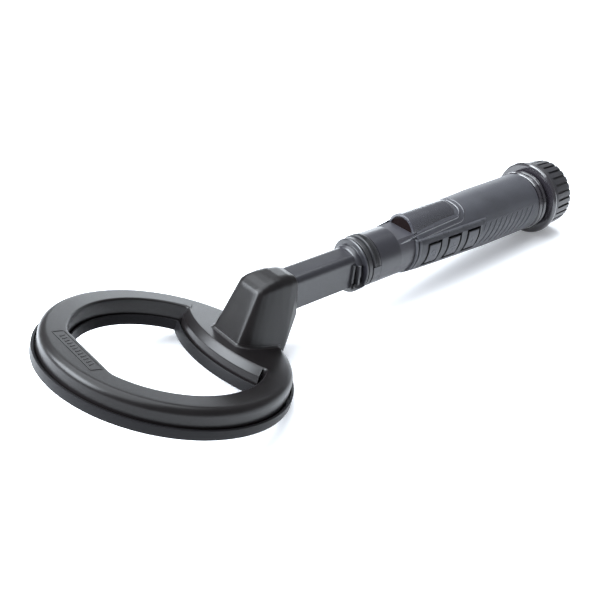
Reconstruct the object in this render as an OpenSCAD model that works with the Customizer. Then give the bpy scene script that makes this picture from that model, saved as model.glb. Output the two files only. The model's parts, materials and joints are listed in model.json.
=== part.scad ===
// Hand-held ring-coil metal detector, lying at rest on its coil cover and its end cap.
// Millimetres, +Z up, the coil points to -X and the end cap to +X.

/* [Coil] */
// Outer radius of the lower cover
cover_r = 80; // [70:1:100]
// Height of the cover's rim
cover_rim = 6.4; // [5:0.1:8]
// Thickness of the cover's floor
cover_floor = 2.4; // [2:0.1:3]
// Radius of the upper shell's outer wall
shell_r = 77.2; // [67:0.1:97]
// Height of the shell's top face above the cover's underside
shell_top = 17.4; // [16:0.1:20]
// Rounding of the shell's outer top edge
shell_edge = 4.6; // [2:0.1:6]
// Wall thickness of the mouldings
wall = 2.4; // [1.6:0.1:3]
// Radius of the opening's side arcs
open_r = 60.5; // [50:0.5:62]
// Distance of the opening's straight front edge from the coil's centre
chord_x = 55; // [40:0.5:57]

/* [Handle line] */
// Angle between the coil's plane and the handle's axis
handle_angle = 16; // [10:0.5:20]
// Height of the handle's axis over the coil's centre
axis_z = 25.8; // [24:0.1:28]

/* [Arm] */
// Half the width of the arm
arm_half = 10.2; // [9.5:0.1:10.6]
// Top of the arm above the axis
arm_top = 11.5; // [11:0.1:12]
// Underside of the arm below the axis
arm_low = 12.1; // [11.5:0.1:12.5]
// Rounding of the arm's top edges
arm_edge = 5.4; // [3:0.1:6]
// Radius of the collar at the arm's end
collar_r = 17.9; // [17:0.1:19]
// Radius of the spigot that enters the handle
spigot_r = 13.5; // [12:0.1:13.6]

/* [Handle] */
// Radius of the front sleeve
body_r = 18; // [17:0.1:18.5]
// Radius of the rubber grip
grip_r = 22.5; // [22:0.1:24]
// Number of slanting grooves on each side of the grip
groove_count = 10; // [4:1:11]
// Number of push-buttons
button_count = 3; // [1:1:3]
// Distance between neighbouring buttons
button_pitch = 19.9; // [18:0.1:21]

/* [End cap] */
// Radius of the cap's front lip
lip_r = 28.8; // [26:0.1:32]
// Radius of the cap over its flutes
cap_r = 26.6; // [25:0.1:28]
// Number of axial slots in the cap
flute_count = 28; // [12:1:32]

/* [Hidden] */
$fn = 96;

// Stations along the handle's axis, measured from above the coil's centre
seam_s = 87.5;
collar_s0 = 134.4;
flare_s = 141.4;
collar_s1 = 143.4;
nose_s = 144.4;
ring_s0 = 144.2;
ring_s1 = 147.5;
thumb_s0 = 148.8;
thumb_s1 = 154.4;
sleeve_s0 = 155;
void_s0 = 147;
void_s1 = 163;
plug_s1 = 168;
bore_s1 = 172;
shell_s0 = 174.4;
flat_s1 = 189.6;
window_s1 = 191.8;
pod_s1 = 236;
rubber_s0 = 184;
bay_s = 270;
rubber_s1 = 321.5;
step_s0 = 262;
step_s1 = 266;
lip_s0 = 331.8;
lip_s1 = 336.4;
neck_s1 = 350;
cap_s1 = 357.8;

// Radii that belong together
running_fit = 0.05;
bore_r = spigot_r + running_fit;
nose_r = 15.4;
ring_bore = nose_r + running_fit;
cable_bore = 7.2;
chin_r = 18.7;
ring_r = 17.7;
thumb_r = 18.6;
neck_r = 20;
cap_bore = neck_r + 0.06;
bay_r = 17.4;
shell_in = 15.8;
flat_h = 14;

// The rear lobe of the coil: a round bulge into the opening with a sloping face
lobe_x = 125.8;
lobe_top_r = 93.5;
lobe_low_r = 96.4;
lobe_low_z = 12.2;

// The cover's rim wall, and its gap to the edge of the opening
cover_wall = 1.8;
cover_gap = 1;

// Cover screws: places, bosses in the shell, counterbored holes in the cover
screw_spots = [[-60, 13], [-60, -13], [46, 29], [46, -29]];
boss_r = 2.7;
pilot_r = 1.3;
pilot_top = 12;
clearance_r = 1.4;
counterbore_r = 2.8;
counterbore_z = 1.7;
head_r = 2.6;
head_h = 1.3;
head_z = 0.4;
shank_r = 1.25;
shank_l = 9.6;

// Passage for the cable from the shell's inside into the pedestal
passage_x = 50;
passage_l = 18;
passage_w = 14;
passage_z = 5;

// The winding's former stands on the cover's floor
former_in = 64.6;
former_out = 72.6;
former_top = 13;
flange = 1.4;
winding_w = 5.4;

// Cable from the winding to the plug
cable_r = 2.2;
cable_route = [
    [64.5, 0, 8], [62.8, 0, 8], [61, 0, 9.4], [60.4, 0, 12], [61, 0, 20], [63, 0, 30], [66, 0, 38],
    [71, 0, 44], [78, 0, 47.5], [88, 0, 50.8], [102, 0, 55], [118, 0, 59.6], [132, 0, 63.7]
];

// Collar at the arm's end: (radius, station) outline of the flange, then the ribs on its sides as
// station, width and reach from the axis, then the sector of the thick rim under it
arm_end = collar_s0 + 0.6;
flange_outline = [
    [0, 137.4], [11.6, 137.4], [12.6, 139.8], [14.2, flare_s], [collar_r - 1, 141.9],
    [collar_r, 142.6], [collar_r, collar_s1], [0, collar_s1]
];
side_ribs = [[134.8, 1.7, 12.4], [138, 1.8, 14.2]];
rib_low = collar_r;
rib_top = 6;
chin_from = 125;
chin_to = 235;

// Plug: screws above and below the axis, contact pins on one circle, groove for the seal
plug_screw_h = 9;
plug_screw_r = 0.95;
plug_screw_bore = 1;
plug_head_r = 1.7;
plug_head_l = 1.6;
plug_cable_r = 3.2;
plug_wall = 2.7;
pin_count = 5;
pin_circle = 7;
pin_r = 0.8;
pin_bore = 0.82;
pin_socket_r = 1.15;
pin_tip_s = 175.2;
seal_groove_s = 158;
seal_groove_w = 2.4;
seal_groove_depth = 1.5;
spigot_seal_r = 0.72;

// Twist collar: half angle of the thumb segment, its web and its knurls
thumb_half = 79;
thumb_web = 1.3;
knurl_half = 74;
knurl_pitch = 4;
knurl_w = 0.5;
knurl_depth = 0.35;

// Cheeks of the front sleeve, beside and under the thumb segment
cheek_from = 80.5;
cheek_to = 250;
cheek_l = 8;
rear_bore_r = 9.2;

// Keypad: windows slant rearward towards the top, in handle coordinates
key_s = 204;
key_w = 13.8;
key_top = 7;
key_low = -10;
key_slant = 4;
key_gap = 0.8;
key_mid_h = (key_top + key_low) / 2;
key_lift = 0.7;
key_seat = 1.7;
stem_r = 2.4;
stem_hole_r = 2.9;
stem_y = 15.8;
stem_l = 5;

// Keypad's outline as (station, height), and the groove between its ridges
bezel_outline = [[184.4, -13], [249, -13], [255.5, 2], [259, 11.4], [189, 11.4]];
bezel_lift = 0.5;
ridge_s = 187.2;
ridge_w = 0.7;
ridge_lean = 12;

// Skin of the grip as (radius, station), wider towards the rear
skin_outline = [
    [18.9, rubber_s0 - 1], [20, 197], [20.95, 221], [22, 256], [grip_r, bay_s], [grip_r, rubber_s1]
];

// Slanting grooves of the grip
groove_s = 252;
groove_pitch = 6.1;
groove_w = 1;
groove_lean = 32;
groove_low = -8;
groove_l = 19;
groove_depth = 0.8;

// Circuit board, its parts as station, height and size, and its switches
board_s = 180;
board_l = 80;
board_y = -10.4;
board_t = 1.6;
board_half = 12.5;
chips = [[188, -6, [9, 1.4, 9]], [200, -8, [12, 1.2, 8]], [218, -4, [7, 2, 7]], [232, -8, [5, 4, 10]]];
switch_w = 6;
switch_h = 3;
switch_y = -13.4;
plunger_r = 1.7;
plunger_l = 0.8;

// Arched pod on top and the smoked window that closes its front
arch_r = 12.9;
arch_h = 11.4;
arch_foot = 2;
pod_wall = 2;
pod_corner = 6;
window_r = arch_r - pod_wall - 0.05;
window_a = asin((flat_h - arch_h) / window_r);
window_s0 = flat_s1 + 0.6;
led_s = window_s1 + 0.9;
led_h = 19.3;
led_r = 1.2;
led_l = 0.7;
led_foot = [0.9, 4, 2.6];

// Opening in the main tube under the pod
light_slot_w = 13;
light_slot_margin = 4;

// Speaker under the pod
speaker_s = 216;
speaker_h = 14.6;
speaker_r = 7.8;
speaker_t = 2.4;
speaker_rim = 2;

// Socket that takes the pins, and the leads from it to the board
socket_r = 9.1;
socket_flange_r = 11;
socket_flange_t = 2;
lead_r = 1.1;
lead_route = [
    [178.4, 0, -3], [180, 0, -3], [181.5, -1.5, -3.6], [183, -4, -4], [184.5, -6.2, -4],
    [185, -7.6, -4], [185, -8.8, -4]
];

// Cartridge of four cells
cell_r = 7;
cell_circle = 10.1;
cell_s0 = 285.1;
cell_s1 = 335.5;
plate_r = 17.2;
plate_t = 2.5;
spine_r = 2.6;
spring_wire = 0.6;
spring_turns = 4;
spring_steps = 60;
front_spring_r = 6;
front_spring_l = 11.2;
rear_spring_s = 339;
rear_spring_l = 11;
rear_spring_r0 = 5;
rear_spring_r1 = 10;
disc_r = 15;
disc_s0 = 350.6;
disc_s1 = 351.6;

// Beads behind the grip, and the seal under the cap
bead_spots = [324, 328.4];
bead_half = 2;
bead_out = 1.2;
cap_seal_s = 340.2;
cap_seal_r = 0.85;
cap_groove_w = 2.4;

// Cap: its slots, and the space inside it
flute_w = 1.5;
flute_depth = 1.9;
cap_room = 2.2;
lip_round = 2.3;

// Rest pose: the cover's rear edge and the lip's lowest point both touch the floor
lip_mid = (lip_s0 + lip_s1) / 2;
touch_x = lip_mid * cos(handle_angle) + lip_r * sin(handle_angle);
touch_z = axis_z + lip_mid * sin(handle_angle) - lip_r * cos(handle_angle);
rest_tilt = atan2(touch_z, touch_x - cover_r);
drop = rest_tilt - handle_angle;
lift = cover_r * sin(rest_tilt);
front_x = -cover_r * cos(rest_tilt);
rear_x = axis_z * sin(rest_tilt) + cap_s1 * cos(drop) + (cap_r - 2) * sin(drop);
shift_x = -(front_x + rear_x) / 2;

// ---------- frames and helpers ----------

module coil_frame() {
    translate([shift_x, 0, lift]) rotate([0, rest_tilt, 0]) children();
}

module handle_frame() {
    coil_frame() translate([0, 0, axis_z]) rotate([0, -handle_angle, 0]) children();
}

// Revolves a (radius, station) profile about the handle's axis
module on_axis() {
    rotate([0, 90, 0]) rotate_extrude() children();
}

// The same for a sector; the angle is 0 at the top and grows towards the keypad side
module sector(from, to) {
    rotate([0, 90, 0]) rotate([0, 0, 180 + from]) rotate_extrude(angle = to - from) children();
}

module rod(r, s0, s1) {
    translate([s0, 0, 0]) rotate([0, 90, 0]) cylinder(r = r, h = s1 - s0);
}

module tube(r_out, r_in, s0, s1) {
    difference() {
        rod(r_out, s0, s1);
        rod(r_in, s0 - 1, s1 + 1);
    }
}

function arc(cx, cy, r, a0, a1, n) =
    [for (i = [0:n]) let (a = a0 + (a1 - a0) * i / n) [cx + r * cos(a), cy + r * sin(a)]];

function unit(v) = v / norm(v);

// Ring of points around one station of a swept wire
function wire_ring(p, t, ref, r, sides) =
    let (u = unit(cross(t, ref)), w = cross(unit(t), u))
    [for (k = [0:sides - 1]) p + r * (cos(360 * k / sides) * u + sin(360 * k / sides) * w)];

// Closed wire swept along a route; ref is a direction that the route never follows
module wire(route, r, ref, sides = 8) {
    n = len(route);
    tangents = [for (i = [0:n - 1]) route[min(i + 1, n - 1)] - route[max(i - 1, 0)]];
    points = [for (i = [0:n - 1]) each wire_ring(route[i], tangents[i], ref, r, sides)];
    walls = [for (i = [0:n - 2], k = [0:sides - 1])
        let (j = (k + 1) % sides)
        [(i + 1) * sides + k, (i + 1) * sides + j, i * sides + j, i * sides + k]];
    start = [[for (k = [0:sides - 1]) k]];
    end = [[for (k = [sides - 1:-1:0]) (n - 1) * sides + k]];
    polyhedron(points = points, faces = concat(start, walls, end));
}

// ---------- coil ----------

// Side profile of the lobe, grown outwards by m
module lobe(m) {
    translate([lobe_x, 0, 0]) rotate_extrude($fn = 180) polygon([
        [0, -1], [lobe_low_r + m, -1], [lobe_low_r + m, lobe_low_z],
        [lobe_top_r + m, shell_top], [lobe_top_r + m, shell_top + 1], [0, shell_top + 1]
    ]);
}

// The D-shaped opening, made smaller all round by m
module opening(m) {
    difference() {
        intersection() {
            translate([0, 0, -0.5]) cylinder(r = open_r - m, h = shell_top + 1);
            translate([-chord_x + m, -100, -0.5]) cube([200, 200, shell_top + 1]);
        }
        lobe(m);
    }
}

// Outline of the pedestal's foot and of its crown: distance back, half width, height, rounding
neck_foot = [[42, 13, 3], [48.6, 17.2, 3.6], [56.6, 19, 3.4]];
neck_back = [77.6, 19.3, 3];
neck_crown = [[49.6, 12.2, 55.4, 4.8], [56.2, 12.2, 60.2, 5.8], [63, 11.8, 63, 7]];
neck_lip = 0.5;

// Pedestal that carries the arm, shrunk by m for the hollow inside
module neck(m) {
    hull() for (y = [-1, 1]) {
        for (p = neck_foot) translate([p[0] + p[2] + m, y * (p[1] - p[2] - m), shell_top - 2])
            cylinder(r = p[2], h = 1, $fn = 24);
        translate([neck_back[0] - neck_back[2] - m, y * (neck_back[1] - neck_back[2] - m), shell_top - 2])
            cylinder(r = neck_back[2], h = 1, $fn = 24);
        for (p = neck_crown) translate([p[0] + p[3] + m, y * (p[1] - p[3] - m), p[2] - p[3] - m])
            sphere(r = p[3], $fn = 32);
        translate([0, 0, axis_z]) rotate([0, -handle_angle, 0]) neck_seam(y, m);
    }
}

// Edges of the pedestal where the arm joins it, on one side
module neck_seam(y, m) {
    in = m - neck_lip;
    translate([seam_s - 2, y * (arm_half - arm_edge - in), arm_top - arm_edge - in])
        rotate([0, 90, 0]) cylinder(r = arm_edge, h = 2 + m / 2, $fn = 32);
    translate([seam_s - 2, y * (arm_half - 1.5 - in), -arm_low - 2.5 + m])
        rotate([0, 90, 0]) cylinder(r = 1.5, h = 2 + m / 2, $fn = 24);
}

module coil_shell() color("#17181b") coil_frame() difference() {
    union() {
        difference() {
            rotate_extrude() polygon(concat(
                [[0, cover_floor], [shell_r, cover_floor]],
                arc(shell_r - shell_edge, shell_top - shell_edge, shell_edge, 0, 90, 6),
                [[0, shell_top]]
            ));
            opening(0);
            difference() {
                translate([0, 0, -1]) cylinder(r = shell_r - wall, h = shell_top - wall + 1);
                opening(-wall);
                for (p = screw_spots) translate([p[0], p[1], 0]) cylinder(r = boss_r, h = shell_top);
            }
        }
        neck(0);
    }
    neck(wall);
    translate([passage_x, -passage_w / 2, passage_z]) cube([passage_l, passage_w, shell_top]);
    for (p = screw_spots) translate([p[0], p[1], 0]) cylinder(r = pilot_r, h = pilot_top);
}

module coil_cover() color("#1b1c1f") coil_frame() difference() {
    cylinder(r = cover_r, h = cover_rim);
    opening(cover_gap + cover_wall);
    difference() {
        translate([0, 0, cover_floor]) cylinder(r = cover_r - cover_wall, h = cover_rim);
        opening(cover_gap);
    }
    for (p = screw_spots) translate([p[0], p[1], -1]) {
        cylinder(r = clearance_r, h = cover_floor + 2);
        cylinder(r = counterbore_r, h = 1 + counterbore_z);
    }
}

module winding_former() color("#d9cfa8") coil_frame() rotate_extrude() polygon([
    [former_in, cover_floor], [former_out, cover_floor], [former_out, cover_floor + flange],
    [former_in + flange, cover_floor + flange], [former_in + flange, former_top - flange],
    [former_out, former_top - flange], [former_out, former_top], [former_in, former_top]
]);

module coil_winding() color("#b0662f") coil_frame() rotate_extrude()
    translate([former_in + flange, cover_floor + flange])
        square([winding_w, former_top - cover_floor - 2 * flange]);

module cover_screws() color("#9a9da2") coil_frame() for (p = screw_spots)
    translate([p[0], p[1], head_z]) {
        cylinder(r = head_r, h = head_h);
        cylinder(r = shank_r, h = shank_l);
    }

// ---------- arm ----------

module arm_outline(m) {
    r = arm_edge - m;
    translate([-arm_half + m, -arm_low + m]) square([2 * (arm_half - m), arm_low + arm_top - arm_edge - m]);
    translate([-arm_half + arm_edge, -arm_low + m]) square([2 * (arm_half - arm_edge), arm_low + arm_top - 2 * m]);
    for (y = [-1, 1]) translate([y * (arm_half - arm_edge), arm_top - arm_edge]) circle(r = r);
}

// Box section of the arm between two stations
module arm_bar(m, s0, s1) {
    translate([s0, 0, 0]) rotate([90, 0, 90]) linear_extrude(s1 - s0) arm_outline(m);
}

// Upright ribs on the collar's sides
module collar_ribs() {
    for (y = [-1, 1], rib = side_ribs) intersection() {
        translate([rib[0], y > 0 ? 0 : -rib[2], -rib_low]) cube([rib[1], rib[2], rib_low + rib_top]);
        rod(collar_r - 0.8, collar_s0, collar_s1);
    }
}

// Thick rim under the collar
module collar_chin() {
    sector(chin_from, chin_to) polygon([
        [10, collar_s0 + 0.4], [chin_r - 1.3, collar_s0 + 0.4], [chin_r, collar_s0 + 2],
        [chin_r, collar_s1], [10, collar_s1]
    ]);
}

module arm_housing() color("#141518") handle_frame() difference() {
    union() {
        arm_bar(0, seam_s, collar_s1 - 1);
        on_axis() polygon(flange_outline);
        collar_ribs();
        collar_chin();
    }
    arm_bar(wall, seam_s - 1, arm_end);
    rod(cable_bore, arm_end - 1, collar_s1 + 1);
    arm_screw_lines() rod(plug_screw_bore, arm_end + 1, collar_s1 + 1);
}

// The two screws' lines, above and below the axis
module arm_screw_lines() {
    for (h = [-1, 1]) translate([0, 0, plug_screw_h * h]) children();
}

// Two screws hold the plug's flange against the collar
module arm_screws() color("#9a9da2") handle_frame() arm_screw_lines() {
    rod(plug_screw_r, arm_end + 2, void_s0);
    rod(plug_head_r, void_s0, void_s0 + plug_head_l);
}

module coil_cable() color("#2a2a2c") coil_frame() wire(cable_route, cable_r, [0, 1, 0]);

module plug_core() color("#26272a") handle_frame() difference() {
    union() {
        rod(spigot_r, collar_s1, plug_s1);
        rod(cable_bore - 0.1, arm_end + 0.4, collar_s1);
    }
    rod(plug_cable_r, collar_s0, void_s0 + 1);
    rod(spigot_r - plug_wall, void_s0, void_s1);
    on_axis() translate([spigot_r - seal_groove_depth, seal_groove_s]) square([4, seal_groove_w]);
    pin_ring() rod(pin_bore, void_s1 - 1, plug_s1 + 1);
    arm_screw_lines() rod(plug_screw_bore, collar_s1 - 1, void_s0 + 1);
}

// Contacts on one circle
module pin_ring() {
    for (i = [0:pin_count - 1]) rotate([i * 360 / pin_count, 0, 0]) translate([0, 0, pin_circle]) children();
}

module plug_pins() color("#c9a449") handle_frame() pin_ring() rod(pin_r, void_s1 - 0.6, pin_tip_s);

module spigot_seal() color("#101010") handle_frame() on_axis()
    translate([spigot_r - spigot_seal_r - 0.04, seal_groove_s + seal_groove_w / 2])
        circle(r = spigot_seal_r, $fn = 24);

// ---------- twist collar ----------

module lock_ring() color("#1d1e21") handle_frame() tube(ring_r, ring_bore, ring_s0, ring_s1);

module thumb_grip() color("#202125") handle_frame() difference() {
    union() {
        sector(-thumb_half, thumb_half) translate([ring_bore, thumb_s0])
            square([thumb_r - ring_bore, thumb_s1 - thumb_s0]);
        sector(-thumb_half, thumb_half) translate([ring_bore, ring_s1])
            square([thumb_web, thumb_s0 - ring_s1]);
    }
    for (a = [-knurl_half:knurl_pitch:knurl_half]) rotate([-a, 0, 0])
        translate([thumb_s0 - 1, -knurl_w / 2, thumb_r - knurl_depth])
            cube([thumb_s1 - thumb_s0 + 2, knurl_w, 1]);
}

// ---------- handle ----------

module front_sleeve() color("#16171a") handle_frame() difference() {
    union() {
        rod(nose_r, nose_s, sleeve_s0);
        rod(body_r, sleeve_s0, shell_s0);
        sector(cheek_from, cheek_to) translate([nose_r - 1, ring_s1 + 0.6])
            square([body_r - nose_r + 0.9, cheek_l]);
    }
    rod(bore_r, nose_s - 1, bore_s1);
    rod(rear_bore_r, bore_s1 - 1, shell_s0 + 1);
}

// Space for the electronics; its roof follows the flat in front of the pod
module hollow() {
    difference() {
        on_axis() polygon([
            [0, shell_s0 - 1], [rear_bore_r, shell_s0 - 1],
            [rear_bore_r, shell_s0 + 2], [shell_in, shell_s0 + 2],
            [shell_in, bay_s - 3], [0, bay_s - 3]
        ]);
        translate([shell_s0, -20, flat_h - wall]) cube([window_s1 - shell_s0 + wall, 40, 10]);
    }
}

module body_shell() color("#18191c") handle_frame() difference() {
    on_axis() polygon([
        [0, shell_s0], [body_r, shell_s0], [body_r, step_s0], [neck_r - 0.1, step_s1],
        [neck_r - 0.1, rubber_s1], [neck_r, rubber_s1 + 0.5], [neck_r, neck_s1], [0, neck_s1]
    ]);
    hollow();
    board(0.1);
    rod(bay_r, bay_s, neck_s1 + 1);
    rod(2, bay_s - 4, bay_s + 1);
    translate([shell_s0 - 1, -30, flat_h]) cube([window_s1 - shell_s0 + 1, 60, 20]);
    translate([flat_s1 + light_slot_margin, -light_slot_w / 2, 10])
        cube([pod_s1 - flat_s1 - 2 * light_slot_margin, light_slot_w, 20]);
    translate([speaker_s, 0, speaker_h]) cylinder(r = speaker_r + 0.1, h = 10);
    for (i = [0:button_count - 1]) key_hole(i, stem_hole_r);
    on_axis() translate([neck_r - 2, cap_seal_s - cap_groove_w / 2]) square([4, cap_groove_w]);
}

// Round passage for a button's stem
module key_hole(i, r) {
    translate([key_s + i * button_pitch, 0, key_mid_h])
        rotate([90, 0, 0]) cylinder(r = r, h = 40, $fn = 48);
}

// Slanting window of one button, made smaller all round by m
module key_prism(i, m) {
    mid = key_s + i * button_pitch;
    hw = key_w / 2 - m;
    lean = key_slant / 2;
    rotate([90, 0, 0]) linear_extrude(40) polygon([
        [mid - hw - lean, key_low + m], [mid + hw - lean, key_low + m],
        [mid + hw + lean, key_top - m], [mid - hw + lean, key_top - m]
    ]);
}

module bezel_prism(m) {
    rotate([90, 0, 0]) linear_extrude(40) offset(delta = m) polygon(bezel_outline);
}

// Outer skin of the keypad side, grown by extra
module skin(extra) {
    on_axis() polygon(concat(
        [[0, rubber_s0 - 1]], [for (p = skin_outline) [p[0] + extra, p[1]]], [[0, rubber_s1]]
    ));
}

module keypad_bezel() color("#24262a") handle_frame() difference() {
    intersection() {
        bezel_prism(0);
        skin(bezel_lift);
    }
    rod(body_r + 0.05, rubber_s0 - 2, step_s0);
    for (i = [0:button_count - 1]) key_prism(i, 0);
    translate([ridge_s, -30, -14]) rotate([0, ridge_lean, 0]) cube([ridge_w, 11, 30]);
}

module button(i) color("#2b2d32") handle_frame() {
    intersection() {
        key_prism(i, key_gap);
        difference() {
            skin(key_lift);
            rod(body_r + key_seat, rubber_s0, step_s0);
        }
    }
    translate([0, -stem_y, 0]) intersection() {
        key_hole(i, stem_r);
        translate([rubber_s0, -stem_l, -10]) cube([80, stem_l, 20]);
    }
}

module button_1() button(0);
module button_2() button(1);
module button_3() button(2);

module key_switches() color("#c8c8c8") handle_frame() for (i = [0:button_count - 1])
    translate([key_s + i * button_pitch, switch_y, key_mid_h]) {
        translate([-switch_w / 2, 0, -switch_w / 2]) cube([switch_w, switch_h, switch_w]);
        rotate([90, 0, 0]) cylinder(r = plunger_r, h = plunger_l, $fn = 32);
    }

// Plate of the circuit board, grown by m for the slots that hold its edges
module board(m) {
    translate([board_s - m, board_y - m, -board_half - m])
        cube([board_l + 2 * m, board_t + 2 * m, 2 * (board_half + m)]);
}

module main_board() color("#1f5a36") handle_frame() board(0);

module board_chips() color("#202020") handle_frame()
    for (chip = chips) translate([chip[0], board_y + board_t, chip[1]]) cube(chip[2]);

module signal_arch(m, s0, s1) {
    translate([s0, 0, 0]) rotate([90, 0, 90]) linear_extrude(s1 - s0) {
        translate([0, arch_h]) circle(r = arch_r - m);
        translate([-arch_r + m, arch_h - arch_foot]) square([2 * (arch_r - m), arch_foot + 0.01]);
    }
}

// Plan of the pod with its rounded rear corners
module pod_plan() {
    linear_extrude(40) hull() {
        translate([flat_s1 - 1, -arch_r - 1]) square([1, 2 * arch_r + 2]);
        for (y = [-1, 1]) translate([pod_s1 - pod_corner, y * (arch_r - pod_corner + 0.1)])
            circle(r = pod_corner);
    }
}

module signal_pod() color("#15161a") handle_frame() difference() {
    intersection() {
        signal_arch(0, flat_s1, pod_s1);
        pod_plan();
    }
    signal_arch(pod_wall, flat_s1 - 1, pod_s1 - pod_wall - 0.5);
    rod(body_r + 0.05, flat_s1 - 2, pod_s1 + 2);
}

// Smoked front of the pod, standing on the flat
module signal_window() color("#2a1517") handle_frame()
    translate([window_s0, 0, 0]) rotate([90, 0, 90]) linear_extrude(window_s1 - window_s0)
        polygon(arc(0, arch_h, window_r, window_a, 180 - window_a, 32));

module signal_led() color("#f1efe2") handle_frame() translate([led_s, 0, 0]) {
    translate([0, 0, led_h]) rotate([0, -90, 0]) cylinder(r = led_r, h = led_l, $fn = 32);
    translate([0, -led_foot[1] / 2, body_r]) cube(led_foot);
}

module speaker() color("#3a3a3e") handle_frame() translate([speaker_s, 0, speaker_h]) difference() {
    cylinder(r = speaker_r, h = speaker_t);
    translate([0, 0, speaker_t - 0.8]) cylinder(r = speaker_r - speaker_rim, h = speaker_t);
}

module socket_block() color("#303236") handle_frame() difference() {
    union() {
        rod(socket_r, bore_s1 - 0.4, shell_s0 + 2 + socket_flange_t);
        rod(socket_flange_r, shell_s0 + 2, shell_s0 + 2 + socket_flange_t);
    }
    pin_ring() rod(pin_socket_r, bore_s1 - 1, shell_s0 + 2);
}

module socket_leads() color("#a33a2a") handle_frame() wire(lead_route, lead_r, [0, 0, 1]);

module battery_holder() color("#2c2c2e") handle_frame() {
    for (s = [cell_s0 - 0.1 - plate_t, cell_s1 + 0.1]) rod(plate_r, s, s + plate_t);
    rod(spine_r, cell_s0 - 1, cell_s1 + 1);
}

module battery_cells() color("#8c6a2f") handle_frame() for (a = [45:90:315])
    rotate([a, 0, 0]) translate([0, 0, cell_circle]) rod(cell_r, cell_s0, cell_s1);

// Helix from one station, its radius going from r0 to r1
module spring(s0, length, r0, r1) {
    wire([
        for (i = [0:spring_steps])
            let (u = i / spring_steps, a = 360 * spring_turns * u, r = r0 + (r1 - r0) * u)
            [s0 + length * u, r * cos(a), r * sin(a)]
    ], spring_wire, [1, 0, 0], 6);
}

module battery_spring() color("#b9bcc2") handle_frame()
    spring(bay_s + 0.7, front_spring_l, front_spring_r, front_spring_r);

// Shallow slanting grooves that follow the grip's round side
module grip_grooves() {
    difference() {
        for (i = [0:groove_count - 1]) translate([groove_s + groove_pitch * i, -30, groove_low])
            rotate([0, groove_lean, 0]) cube([groove_w, 60, groove_l]);
        rod(grip_r - groove_depth, groove_s - 12, rubber_s1 + 10);
        translate([groove_s - 12, -14, -30]) cube([100, 28, 60]);
    }
}

module rubber_grip() color("#3b4048") handle_frame() difference() {
    skin(0);
    on_axis() polygon([
        [0, rubber_s0 - 3], [body_r + 0.05, rubber_s0 - 3], [body_r + 0.05, step_s0],
        [neck_r - 0.05, step_s1], [neck_r - 0.05, rubber_s1 + 1], [0, rubber_s1 + 1]
    ]);
    translate([rubber_s0 - 3, -14.4, 0]) cube([pod_s1 + 4 - rubber_s0 + 3, 28.8, 40]);
    rod(40, rubber_s0 - 5, rubber_s0);
    bezel_prism(0.15);
    grip_grooves();
}

module end_beads() color("#101114") handle_frame() for (s = bead_spots) on_axis()
    polygon(concat(
        [[neck_r + 0.05, s - bead_half]],
        arc(neck_r + bead_out, s, bead_half, -80, 80, 6),
        [[neck_r + 0.05, s + bead_half]]
    ));

module cap_seal() color("#0e0e0e") handle_frame()
    on_axis() translate([neck_r - 1, cap_seal_s]) circle(r = cap_seal_r, $fn = 24);

// ---------- cap ----------

module contact_disc() color("#c2c4c8") handle_frame() rod(disc_r, disc_s0, disc_s1);

module cap_spring() color("#b9bcc2") handle_frame()
    spring(rear_spring_s, rear_spring_l, rear_spring_r0, rear_spring_r1);

module end_cap() color("#141518") handle_frame() difference() {
    on_axis() polygon([
        [0, lip_s1], [cap_r - 0.4, lip_s1], [cap_r, lip_s1 + 1.5], [cap_r - 0.8, cap_s1 - 1.2],
        [cap_r - 2, cap_s1], [0, cap_s1]
    ]);
    rod(cap_bore, lip_s1 - 1, neck_s1 + cap_room);
    for (i = [0:flute_count - 1]) rotate([i * 360 / flute_count, 0, 0])
        translate([lip_s1 + 1, -flute_w / 2, cap_r - flute_depth]) cube([30, flute_w, 4]);
}

module cap_lip() color("#1c1d20") handle_frame() on_axis() polygon(concat(
    [[cap_bore, lip_s0]],
    arc(lip_r - lip_round, lip_mid, lip_round, -90, 90, 8),
    [[cap_bore, lip_s1]]
));

coil_shell();
coil_cover();
winding_former();
coil_winding();
cover_screws();
arm_housing();
arm_screws();
coil_cable();
plug_core();
plug_pins();
spigot_seal();
lock_ring();
thumb_grip();
front_sleeve();
body_shell();
signal_pod();
signal_window();
signal_led();
speaker();
keypad_bezel();
button_1();
button_2();
button_3();
key_switches();
main_board();
board_chips();
socket_block();
socket_leads();
battery_holder();
battery_cells();
battery_spring();
rubber_grip();
end_beads();
cap_seal();
contact_disc();
cap_spring();
end_cap();
cap_lip();
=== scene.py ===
"""Looks of a hand-held ring-coil metal detector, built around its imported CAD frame.

Local measures are millimetres. Two local frames come from the record: the coil's (x towards the
handle, z up through the coil) and the handle's (s along its axis, h up, phi from the top towards
the keypad side).
"""
import json
import math

import bmesh
import bpy
import numpy as np
from mathutils import Matrix, Vector


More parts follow.
